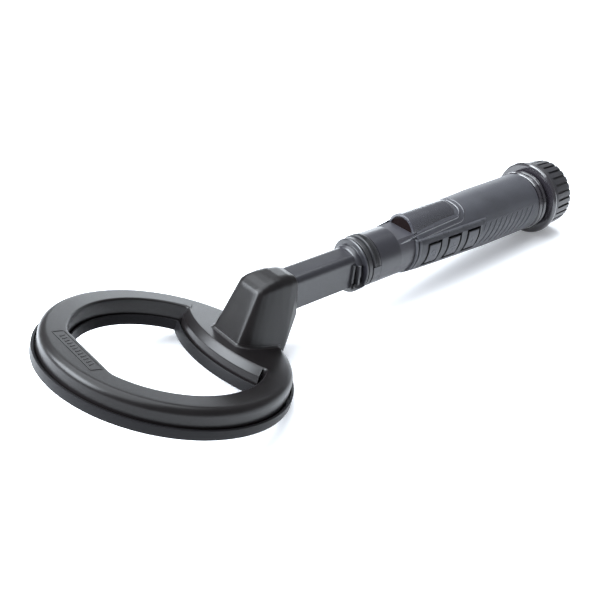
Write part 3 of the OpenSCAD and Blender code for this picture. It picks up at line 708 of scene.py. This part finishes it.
# Pockets in both sides of the arm's end: first and last station, and how near the middle they reach.
POCKETS, POCKET_FAR, POCKET_LOW, POCKET_TOP = ((135.9, 138.2, 9.3), (139.6, 142.0, 7.2)), 24, -11.8, 5.4
# Small bar across the rear pocket: stations, distances from the middle, heights.
CATCH_S, CATCH_Y, CATCH_H = (140.0, 141.8), (7.0, 12.6), (-4.6, -3.4)
# Upright ribs between them: station at the top, at the foot, width, and reach from the middle.
SIDE_RIBS = ((134.9, 133.4, 1.6, 11.8), (138.1, 137.4, 1.7, 14.0))
RIB_LOW, RIB_TOP, RIB_ROOT = -12.4, 5.8, 9.0


def collar_flange():
    """Flange at the arm's end with a concave flare in front of it."""
    flare = [(FLARE_S - FLARE_LONG * math.cos(a), FLARE_R - FLARE_DEEP * (1 - math.sin(a)) ** 1.4)
             for a in np.radians(range(0, 91, 9))]
    lip = [(FLARE_S + 0.35, 14.9), (FLARE_S + 0.5, 16.6), (FLARE_S + 0.75, 17.4), (FLARE_S + 1.2, COLLAR_R),
           (COLLAR_S1 - 0.4, COLLAR_R), (COLLAR_S1 - 0.1, COLLAR_R - 0.12), (COLLAR_S1, COLLAR_R - 0.4)]
    return lathe([(COLLAR_S1, 8.0), (FLARE_S - FLARE_LONG, 8.0)] + flare + lip)


def collar_chin():
    """Thicker sector under the collar."""
    phi = np.linspace(180 - CHIN_SPREAD, 180 + CHIN_SPREAD, 60)
    profile = softened([(CHIN_S0, 15.0), (CHIN_S0, 17.4), (CHIN_S0 + 1.6, CHIN_R), (COLLAR_S1 - 0.2, CHIN_R),
                        (COLLAR_S1 - 0.1, 15.0)], 0.7)
    return tube_mesh(np.array([round_handle(profile[:, 0], profile[:, 1], a) for a in phi]))


def side_rib(side, top, low, width, reach):
    """Upright rib on the collar's side that leans from one station at its top to one at its foot."""
    flat = softened([(low, RIB_LOW), (low + width, RIB_LOW), (top + width, RIB_TOP), (top, RIB_TOP)], 0.5)
    rows = [np.column_stack([flat[:, 0], np.full(len(flat), side * y), flat[:, 1]])
            for y in (RIB_ROOT, reach)]
    return tube_mesh(np.array(rows))


def build_arm():
    # the arm and its collar take the lighter copy of the shell's black, painted light
    arm = new_piece("arm_moulding", arm_bar(), HANDLE, "coil_unit", "shell_black", ["arm_housing"],
                    material=arm_lit_black)
    flange = new_piece("arm_collar", collar_flange(), HANDLE, "coil_unit", "shell_black", material=arm_lit_black)
    ribs = [collar_chin()]
    for side in (-1, 1):
        for s0, s1, reach in POCKETS:
            near, far = sorted((side * reach, side * POCKET_FAR))
            pocket = box_mesh((s0, near, POCKET_LOW), (s1, far, POCKET_TOP))
            for piece in (arm, flange):
                cut(piece, pocket, HANDLE)
        ribs += [side_rib(side, *rib) for rib in SIDE_RIBS]
        corners = zip(CATCH_S, sorted(side * y for y in CATCH_Y), CATCH_H)
        ribs.append(box_mesh(*corners, 0.3))
    for piece in (arm, flange):
        finish_piece(piece, "coil_unit", "shell_black", sharp=35, material=arm_lit_black)
    new_piece("arm_collar_ribs", join(*ribs), HANDLE, "coil_unit", "collar_black")


# ---------- twist collar ----------

THUMB_SPREAD, KNURL_STEP, KNURL_DEEP = 79, 0.55, 0.28
WEB_S, WEB_R = (147.3, 149.0), 16.7
RING_S, RING_R = (144.3, 147.5), 17.7
# Stations across the thumb grip: place, drop below its radius, and whether the knurl is cut there.
THUMB_LINES = ((THUMB_S0, 0.75, 0), (THUMB_S0 + 0.15, 0.25, 0), (THUMB_S0 + 0.6, 0, 0), (149.9, 0, 0),
               (150.1, 0, 1), (153.1, 0, 1), (153.3, 0, 0), (153.9, 0, 0), (154.25, 0.25, 0),
               (THUMB_S1, 0.75, 0))


def sleeve_outline(stations, radius, rounding, steps=4):
    """Closed (s, r) profile of a plain ring on the collar's bore."""
    s0, s1 = stations
    return softened([(s0, RING_BORE), (s0, radius), (s1, radius), (s1, RING_BORE)], rounding, steps)


def build_twist_collar():
    phi = np.arange(-THUMB_SPREAD, THUMB_SPREAD + 0.01, KNURL_STEP)
    knurl = np.where(np.arange(len(phi)) % 4 < 2, 0.0, KNURL_DEEP)
    ends = np.minimum(1, (THUMB_SPREAD - np.abs(phi)) / 1.2)
    s, drop, cuts = np.array(THUMB_LINES).T[:, :, None]
    r = THUMB_R - drop - cuts * knurl - 0.6 * (1 - ends)
    outer, inner = round_handle(s, r, phi), round_handle(s, np.full_like(r, RING_BORE), phi)
    web = sleeve_outline(WEB_S, WEB_R, 0.1, 1)
    web_rows = np.array([round_handle(web[:, 0], web[:, 1], a)
                         for a in np.linspace(-THUMB_SPREAD, THUMB_SPREAD, 60)])
    new_piece("thumb_grip_knurled", join(slab_mesh(outer, inner), tube_mesh(web_rows)), HANDLE,
              "twist_collar", "collar_black", ["thumb_grip"])
    new_piece("lock_ring_turned", lathe(sleeve_outline(RING_S, RING_R, 0.45)), HANDLE, "twist_collar",
              "collar_black", ["lock_ring"])


# ---------- grip ----------

def skin_r(s):
    return np.interp(s, SKIN_S, SKIN_R)


GROOVE_S, GROOVE_PITCH, GROOVE_COUNT, GROOVE_DEEP = 258.0, 6.1, 10, 1.0
UV_SCALE = 0.1                          # UV units per mm on the grip


def grip_shear(phi, along):
    """How far the grip's cross lines lean forward, so that they follow the slanting grooves."""
    a = np.abs(phi)
    lean = np.interp(a, [30, 66, 122, 180], [0, 1.6, -11.4, 0])
    fade = smooth_step(236, 256, along) * (1 - smooth_step(314.5, RUBBER_S1, along))
    return lean * fade


def panel_edge(h):
    """Front and rear stations of the keypad's panel at a height over the axis."""
    front = np.interp(h, [-13, 11.4], [184.4, 189.0])
    rear = np.interp(h, [-13, 2, 11.4], [249.0, 255.5, 259.0])
    return front, rear


def rubber_sleeve():
    """Grip sleeve with its grooves, its hatch value per point, and the grids of stations and angles."""
    lines = [RUBBER_S0, RUBBER_S0 + 0.2, RUBBER_S0 + 0.8] + list(np.arange(186.5, 254, 1.5))
    for i in range(GROOVE_COUNT):
        lines += list(GROOVE_S + GROOVE_PITCH * i + np.array([-2.2, -0.85, -0.5, -0.2, 0.2, 0.5, 0.85, 2.2]))
    lines += [317.0, 319.0, 320.5, 321.1, RUBBER_S1]
    along = np.array(sorted(lines))
    phi = np.arange(0, 360, 1.5)
    phi = np.where(phi > 180, phi - 360, phi)
    a, f = np.meshgrid(along, phi, indexing="ij")
    s = a + grip_shear(f, a)
    s = np.where(np.abs(f) < 46, np.maximum(s, 192.5), s)
    beside = skin_r(RUBBER_S0) * np.cos(np.radians(f))
    s = np.where((f > 45) & (beside > -12.6), np.maximum(s, panel_edge(beside)[0] + 2.0), s)
    r = skin_r(s)
    depth = np.zeros_like(r)
    for i in range(GROOVE_COUNT):
        near = np.abs(a - (GROOVE_S + GROOVE_PITCH * i))
        depth = np.maximum(depth, 1 - smooth_step(0.2, 0.8, near))
    zone = smooth_step(69, 74, np.abs(f)) * (1 - smooth_step(112, 118, np.abs(f)))
    keypad_side = f > 0
    r -= GROOVE_DEEP * depth * zone
    r -= np.where(a > 320.2, (a - 320.2) ** 2 * 0.45, 0)
    r -= np.where(a < RUBBER_S0 + 0.7, (RUBBER_S0 + 0.8 - a) * 0.6, 0)
    y, h = -r * np.sin(np.radians(f)), r * np.cos(np.radians(f))
    front, rear = panel_edge(h)
    under_panel = keypad_side & (y < 0) & (s > front + 1.2) & (s < rear - 1.8) & (h > -11.8) & (h < 10.2)
    under_pod = (np.abs(y) < 11.2) & (h > 0) & (s < POD_S1 - 4)
    r = np.where(under_panel | under_pod, BODY_R + 0.12, r)
    inner_r = np.interp(s, [262, 266], [BODY_R + 0.05, NECK_R - 0.05])
    mesh = slab_mesh(round_handle(s, r, f), round_handle(s, inner_r, f), wrap=True)
    strip = smooth_step(66, 70, np.abs(f)) * (1 - smooth_step(118, 123, np.abs(f)))
    behind = smooth_step(0.5, 2.0, s - rear) * (1 - smooth_step(316, 319, s))
    low = smooth_step(117, 120, np.abs(f)) * (1 - smooth_step(131, 134, np.abs(f))) * (s < 256) * (s > 187)
    hatch = np.clip(np.maximum(strip * behind, low), 0, 1)
    return mesh, hatch, s, f


def build_rubber():
    mesh, hatch, s, f = rubber_sleeve()
    data = local_data("rubber_grip_sleeve", mesh, HANDLE)
    mark(data, "hatch", np.concatenate([hatch.ravel(), np.zeros(hatch.size)]))
    wrap = data.uv_layers.new(name="wrap")
    flat = np.column_stack([s.ravel(), np.radians(f).ravel() * GRIP_R])
    ids = np.zeros(len(data.loops), int)
    data.loops.foreach_get("vertex_index", ids)
    wrap.data.foreach_set("uv", np.tile(flat, (2, 1))[ids].astype(np.float32).ravel() * UV_SCALE)
    clean(data, collapse=False)
    obj = linked("rubber_grip_sleeve", data)
    finish_piece(obj, "handle", "grip_rubber", ["rubber_grip"], sharp=50)


# ---------- keypad ----------

def on_skin(s, h, lift):
    """Point on the keypad side at station s and height h over the axis."""
    r = skin_r(s) + lift
    s, y, h = np.broadcast_arrays(s, -np.sqrt(np.maximum(r ** 2 - np.asarray(h, float) ** 2, 1)), h)
    return np.stack([s, y, h], axis=-1).astype(float)


def key_edge(i, side, h, gap):
    """Station of a button's left or right edge at a height."""
    middle = KEY_S + KEY_PITCH * i
    lean = KEY_LEAN * ((h - KEY_LOW) / (KEY_TOP - KEY_LOW) - 0.5)
    return middle + side * (KEY_W / 2 - gap) + lean


CREST_IN, CREST_LIFT, PANEL_LIFT = 0.25, 0.55, 0.3     # the fine crest round each button's window
NEAR = 0.01                                            # tolerance when heights are compared
# The panel's grid: (place from its front or rear edge, lift), and (height over the axis, lift).
PANEL_FRONT = ((0, -0.5), (0.15, 0.15), (0.5, 0.55), (1.5, 0.55), (1.75, 0.1), (1.85, -0.8), (2.75, -0.8),
               (2.85, 0.1), (3.2, 0.5), (4.3, 0.5), (4.7, 0.15), (5.2, 0.0), (6.0, 0.0))
PANEL_REAR = ((-2.2, 0.2), (-1.2, 0.45), (-0.4, 0.5), (-0.1, 0.2), (0, -0.3))
KEY_SIDE = ((-0.9, PANEL_LIFT), (-CREST_IN, CREST_LIFT), (0.0, PANEL_LIFT))
PANEL_HEIGHTS = ((-13, -0.4), (-12.8, 0.1), (-12.4, 0.3), (-11.4, 0.3), (KEY_LOW - 0.9, 0.3),
                 (KEY_LOW - CREST_IN, CREST_LIFT), (KEY_LOW, 0.3), (-5, 0.3), (-1.5, 0.3), (2, 0.3),
                 (KEY_TOP, 0.3), (KEY_TOP + CREST_IN, CREST_LIFT), (KEY_TOP + 0.9, 0.3), (9.3, 0.3),
                 (9.8, 0.45), (10.2, 0.85), (10.9, 0.9), (11.3, 0.6), (11.4, -0.3))


def under_skin(s, h, radius):
    """Inner grid of a keypad piece, on a cylinder about the handle's axis."""
    return np.stack([s, np.broadcast_to(-np.sqrt(radius ** 2 - h ** 2), s.shape),
                     np.broadcast_to(h, s.shape)], axis=-1)


def within_key(h):
    return (h >= KEY_LOW - NEAR) & (h <= KEY_TOP + NEAR)


def keypad_panel():
    """Panel round the buttons, with two ridges in front and a raised top edge; and its painted-shade values."""
    columns = [(("front", d), lift) for d, lift in PANEL_FRONT]
    for i in range(KEY_COUNT):
        columns += [(("key", i, -1, gap), lift) for gap, lift in KEY_SIDE]
        columns += [(("key", i, 1, gap), lift) for gap, lift in KEY_SIDE[::-1]]
    columns += [(("rear", d), lift) for d, lift in PANEL_REAR]
    stations = [at for at, _ in columns]
    h, row_lift = np.array(PANEL_HEIGHTS).T
    grid, height = [], []
    for at, lift in columns:
        if at[0] == "key":
            s = key_edge(at[1], at[2], h, at[3])
        else:
            s = panel_edge(h)[0 if at[0] == "front" else 1] + at[1]
        grid.append(s)
        height.append(np.where(row_lift > 0.7, np.maximum(row_lift, lift),
                               np.where(row_lift < 0.2, np.minimum(row_lift, lift), lift)))
    s, lift = np.array(grid), np.array(height)
    crest = (np.abs(h - (KEY_LOW - CREST_IN)) < NEAR) | (np.abs(h - (KEY_TOP + CREST_IN)) < NEAR)
    # painted shade: near-black in the sunk lines between the ridges, on the button windows' walls and on the
    # hidden underside
    groove = np.where(lift < -0.6, 1.0, 0.0)
    for j, at in enumerate(stations):
        if at[0] == "key":
            flat = np.where(within_key(h) | (at[3] != -CREST_IN), lift[j], np.minimum(lift[j], PANEL_LIFT))
            lift[j] = np.where(crest, CREST_LIFT, flat)
            groove[j] = within_key(h) & (at[3] == 0.0)
    outer, inner = on_skin(s, h[None, :], lift), under_skin(s, h, BODY_R + 0.1)
    groove = np.concatenate([groove.ravel(), np.ones(groove.size)])
    return with_windows(outer, inner, stations, h), groove


def with_windows(outer, inner, stations, h):
    """Slab with the grid cells over each button left out, their sides closed."""
    n, m = outer.shape[:2]
    keep = np.ones((n - 1, m - 1), bool)
    for i in range(n - 1):
        a, b = stations[i], stations[i + 1]
        if a[0] == b[0] == "key" and a[1] == b[1] and a[2] == -1 and b[2] == 1:
            keep[i, within_key(h[:-1]) & within_key(h[1:])] = False
    faces, size, held = [], n * m, np.pad(keep, 1)
    for i, j in zip(*np.nonzero(keep)):
        a, b, c, d = i * m + j, i * m + j + 1, (i + 1) * m + j + 1, (i + 1) * m + j
        faces += [(a, b, c, d), (size + d, size + c, size + b, size + a)]
        sides = ((held[i, j + 1], b, a), (held[i + 2, j + 1], d, c),
                 (held[i + 1, j], a, d), (held[i + 1, j + 2], c, b))
        faces += [(p, q, size + q, size + p) for closed, p, q in sides if not closed]
    return np.concatenate([outer.reshape(-1, 3), inner.reshape(-1, 3)]), faces


SYMBOL_RISE, SYMBOL_R, SYMBOL_ARM = 0.22, 2.4, 2.6
KEY_EDGE = np.array([0, 0.06, 0.18, 0.38])      # distances in from a button's rim
KEY_CROWN, KEY_ROUND = 0.62, 0.4                # its lift, and how far the rim falls
STEM_R, STEM_Y = 2.4, (-15.8, -19.9)


def symbol(i, u, v):
    """Height of a plain raised mark on a button: ring, bar with dots, or chevron."""
    if i == 0:
        d = np.abs(np.hypot(u, v) - SYMBOL_R)
    elif i == 1:
        d = np.maximum(np.abs(u) - SYMBOL_ARM, 0)
        d = np.minimum(np.hypot(d, v), np.hypot(u, np.abs(v) - SYMBOL_R) - 0.2)
    else:
        d = np.hypot(np.maximum(np.abs(v) - SYMBOL_ARM, 0), (u - 1.4 + 0.8 * np.abs(v)) * 0.8)
    return SYMBOL_RISE * (1 - smooth_step(0.25, 0.55, d))


def button_cap(i):
    """Crowned key with rounded edges, a faint raised mark and a stem; and its painted-shade values."""
    h0, h1 = KEY_LOW + KEY_GAP, KEY_TOP - KEY_GAP
    h = np.concatenate([h0 + KEY_EDGE, np.linspace(h0 + 1, h1 - 1, 48), h1 - KEY_EDGE[::-1]])
    width = KEY_W - 2 * KEY_GAP
    t = np.concatenate([KEY_EDGE / width, np.linspace(0.09, 0.91, 40), 1 - KEY_EDGE[::-1] / width])
    left, right = key_edge(i, -1, h, KEY_GAP), key_edge(i, 1, h, KEY_GAP)
    s = left[None, :] + (right - left)[None, :] * t[:, None]
    border = np.minimum(np.minimum(t, 1 - t)[:, None] * width, np.minimum(h - h0, h1 - h)[None, :])
    lift = KEY_CROWN - KEY_ROUND * (1 - np.clip(border / KEY_EDGE[-1], 0, 1)) ** 2
    middle = KEY_S + KEY_PITCH * i, (KEY_TOP + KEY_LOW) / 2
    lift = lift + symbol(i, s - middle[0], np.broadcast_to(h, s.shape) - middle[1])
    outer, inner = on_skin(s, h[None, :], lift), under_skin(s, h, BODY_R + 1.7)
    stem = disc_mesh(middle, STEM_R, STEM_Y, 15, upright=False)
    # painted shade: near-black on the key's rim and on its stem, where the gap round it is in shade
    rim = 1 - smooth_step(0.1, 0.3, border)
    groove = np.concatenate([rim.ravel(), np.ones(rim.size + len(stem[0]))])
    return join(slab_mesh(outer, inner), stem), groove


def build_keypad():
    mesh, groove = keypad_panel()
    new_piece("keypad_panel", mesh, HANDLE, "handle", "bezel_black", ["keypad_bezel"], 40, groove)
    for i, body in enumerate(("button_a", "button_b", "button_c")):
        mesh, groove = button_cap(i)
        new_piece(f"button_{i + 1}_cap", mesh, HANDLE, body, "button_grey", [f"button_{i + 1}"], 50, groove)


# ---------- pod ----------

def arch_rows(stations, radii, steps=36):
    """Arch sections of the pod, their sides straight below the arch's centre."""
    a = np.radians(np.concatenate([[-90], np.linspace(-90, 90, steps + 1), [90]]))
    foot = np.zeros(len(a))
    foot[[0, -1]] = 2.0
    return np.array([np.column_stack([np.full(len(a), s), r * np.sin(a), ARCH_H - foot + r * np.cos(a)])
                     for s, r in zip(stations, radii)])


POD_WALL, POD_ROUND, FRONT_WALL = 2.0, 5, 1.5


def build_pod():
    t = np.radians(np.linspace(0, 90, 9))[1:]
    stations = [FLAT_S1, FLAT_S1 + 0.12, FLAT_S1 + 0.5, 200, 212, 224, POD_S1 - POD_ROUND]
    radii = [ARCH_R - 0.55, ARCH_R - 0.15] + [ARCH_R] * 5
    stations += list(POD_S1 - POD_ROUND + POD_ROUND * np.sin(t)) + [POD_S1, POD_S1]
    radii += list(ARCH_R - POD_ROUND + POD_ROUND * np.cos(t)) + [4.0, 0.05]
    inner_s = [FLAT_S1] + [min(s, POD_S1 - POD_WALL) for s in stations[1:]]
    inner_r = [ARCH_R - FRONT_WALL] + [max(r - POD_WALL, 0.04) for r in radii[1:]]
    new_piece("signal_pod_shell", slab_mesh(arch_rows(stations, radii), arch_rows(inner_s, inner_r)), HANDLE,
              "handle", "pod_black", ["signal_pod"], sharp=45)


def rail_path(half, s_start, s_end, corner, step=0.8):
    """U-shaped plan path round the pod, as (s, y) points."""
    straight = np.arange(s_start, s_end - corner, step)
    turn = np.radians(np.linspace(0, 90, 14))
    one = [(s, -half) for s in straight]
    one += [(s_end - corner + corner * math.sin(a), -half + corner - corner * math.cos(a)) for a in turn]
    across = [(s_end, y) for y in np.arange(-half + corner + step, half - corner, step)]
    return np.array(one + across + [(s, -y) for s, y in one[::-1]])


# A rail's section is 1 wide and 1 high before it is scaled; None stands for its sunk foot.
RAIL_SECTION = ((-0.5, None), (-0.5, 0.1), (-0.36, 0.75), (0, 1.0), (0.36, 0.75), (0.5, 0.1), (0.5, None))
RAIL_TAPER, RAIL_TIP = (184, 200), 0.4          # stations over which a rail grows from its thin front
RAIL_BASE = ([175, 186, 197, 221, 244, 256], [18.0, 18.9, 20.0, 20.95, 21.65, 22.0])


def rail_mesh(path, width, height, sink):
    """Low rounded rail lying on the handle's skin."""
    t = np.gradient(path, axis=0)
    t /= np.linalg.norm(t, axis=1)[:, None]
    side = np.column_stack([-t[:, 1], t[:, 0]])
    size = RAIL_TIP + (1 - RAIL_TIP) * smooth_step(*RAIL_TAPER, path[:, 0])
    rows = []
    for w, up in RAIL_SECTION:
        p = path + side * w * width * size[:, None]
        r = np.interp(p[:, 0], *RAIL_BASE) + (-sink if up is None else height * up * size)
        rows.append(np.column_stack([p, np.sqrt(r ** 2 - p[:, 1] ** 2)]))
    return tube_mesh(np.array(rows).transpose(1, 0, 2))


# Each rail: (half width, first and last station, corner radius) of its path; width, height, sunk depth.
RAILS = (((13.7, 175.6, 238.4, 6.5), 1.4, 0.75, 1.2), ((16.4, 196.0, 242.6, 9.0), 0.9, 0.35, 0.8))


def build_rails():
    rails = [rail_mesh(rail_path(*path), *section) for path, *section in RAILS]
    new_piece("pod_rails", join(*rails), HANDLE, "handle", "pod_black", sharp=60)


# ---------- cap ----------

FLUTES, FLUTE_S0, FLUTE_DEEP = 28, 340.6, 1.7
# Degrees round one flute, each with whether the flute is cut there.
FLUTE_ANGLES = ((-2.2, 0), (-1.95, 1), (-1.2, 1), (1.2, 1), (1.95, 1), (2.2, 0), (4.3, 0), (6.4, 0), (8.5, 0))
# The cap's profile: station, radius, and how much of a flute's depth is cut there.
CAP_LINES = (
    (LIP_S1 + 0.02, CAP_R - 0.9, 0), (LIP_S1 + 0.3, CAP_R - 0.45, 0), (LIP_S1 + 1.6, CAP_R - 0.1, 0),
    (FLUTE_S0 - 0.5, CAP_R, 0), (FLUTE_S0, CAP_R, 0), (FLUTE_S0 + 0.5, CAP_R, 1.0),
    (346, CAP_R - 0.3, 1.0), (352, CAP_R - 0.6, 1.0), (CAP_S1 - 1.6, CAP_R - 0.9, 1.0),
    (CAP_S1 - 0.9, CAP_R - 1.1, 1.0), (CAP_S1 - 0.35, CAP_R - 1.5, 0.75), (CAP_S1, CAP_R - 2.1, 0.2),
    (CAP_S1, CAP_R - 4.0, 0), (CAP_S1, 12, 0), (CAP_S1, 3, 0), (CAP_S1, 0.05, 0),
    (352.2, 0.05, 0), (352.2, CAP_BORE - 0.5, 0), (351.7, CAP_BORE, 0), (LIP_S1 + 0.02, CAP_BORE, 0))


def build_cap():
    phi, cuts = np.array([(i * 360 / FLUTES + off, d) for i in range(FLUTES) for off, d in FLUTE_ANGLES]).T
    s, r, share = np.array(CAP_LINES).T[:, :, None]
    mesh = torus_mesh(round_handle(s, r - FLUTE_DEEP * share * cuts, phi))
    new_piece("end_cap_fluted", mesh, HANDLE, "cap", "cap_black", ["end_cap"], sharp=32)


# ---------- stage ----------

AIM = Vector((-0.0396, 0, 0.0309))
VIEW_AZIMUTH, VIEW_ELEVATION, VIEW_DISTANCE = math.radians(-39.3), math.radians(34.4), 0.6006
LENS, SENSOR = 54.0, 36.0
# Area lights in metres and watts: name, place, size, power, colour.
LIGHTS = (("overhead", (-0.15, 0.3, 1.25), (2.1, 1.5), 54, (0.90, 0.95, 1.0)),
          ("back_left", (-0.78, 0.36, 0.62), (0.8, 0.5), 27, (0.88, 0.94, 1.0)),
          ("back_right", (0.9, 1.1, 0.22), (0.9, 0.25), 5, (0.88, 0.94, 1.0)))
FLOOR_HALF, FLOOR_WHITE, FLOOR_GLOW = 6.0, (0.93, 0.94, 0.96), ((0.94, 0.96, 1.0), 0.2)
SKY, SKY_STRENGTH = (0.95, 0.97, 1.0), 0.42


def build_camera():
    back = Vector((math.sin(VIEW_AZIMUTH) * math.cos(VIEW_ELEVATION),
                   -math.cos(VIEW_AZIMUTH) * math.cos(VIEW_ELEVATION), math.sin(VIEW_ELEVATION)))
    data = bpy.data.cameras.new("camera")
    data.lens, data.sensor_width = LENS, SENSOR
    data.clip_start, data.clip_end = 0.01, 50
    camera = linked("camera", data)
    camera.location = AIM + back * VIEW_DISTANCE
    camera.rotation_mode = "QUATERNION"
    camera.rotation_quaternion = (-back).to_track_quat("-Z", "Y")
    bpy.context.scene.camera = camera


def area_light(name, place, size, power, colour):
    data = bpy.data.lights.new(name, "AREA")
    data.shape, data.size, data.size_y = "RECTANGLE", size[0], size[1]
    data.energy, data.color = power, colour
    light = linked(name, data)
    light.location = place
    light.rotation_mode = "QUATERNION"
    light.rotation_quaternion = (AIM - Vector(place)).to_track_quat("-Z", "Y")


def build_stage():
    data = bpy.data.meshes.new("floor")
    data.from_pydata([(x * FLOOR_HALF, y * FLOOR_HALF, 0) for x, y in ((-1, -1), (1, -1), (1, 1), (-1, 1))],
                     [], [(0, 1, 2, 3)])
    floor = linked("floor", data)
    mat, nodes, _ = nodes_of("floor_white")
    shader = nodes["Principled BSDF"].inputs
    shader["Base Color"].default_value = (*FLOOR_WHITE, 1)
    shader["Roughness"].default_value = 0.5
    shader["Emission Color"].default_value = (*FLOOR_GLOW[0], 1)
    shader["Emission Strength"].default_value = FLOOR_GLOW[1]
    data.materials.append(mat)
    world = bpy.data.worlds.new("studio")
    world.use_nodes = True
    background = world.node_tree.nodes["Background"].inputs
    background["Color"].default_value = (*SKY, 1)
    background["Strength"].default_value = SKY_STRENGTH
    bpy.context.scene.world = world
    bpy.context.scene.view_settings.view_transform = "Standard"
    for light in LIGHTS:
        area_light(*light)


build_camera()
build_stage()
build_coil()
build_arm()
build_twist_collar()
build_rubber()
build_keypad()
build_pod()
build_rails()
build_cap()
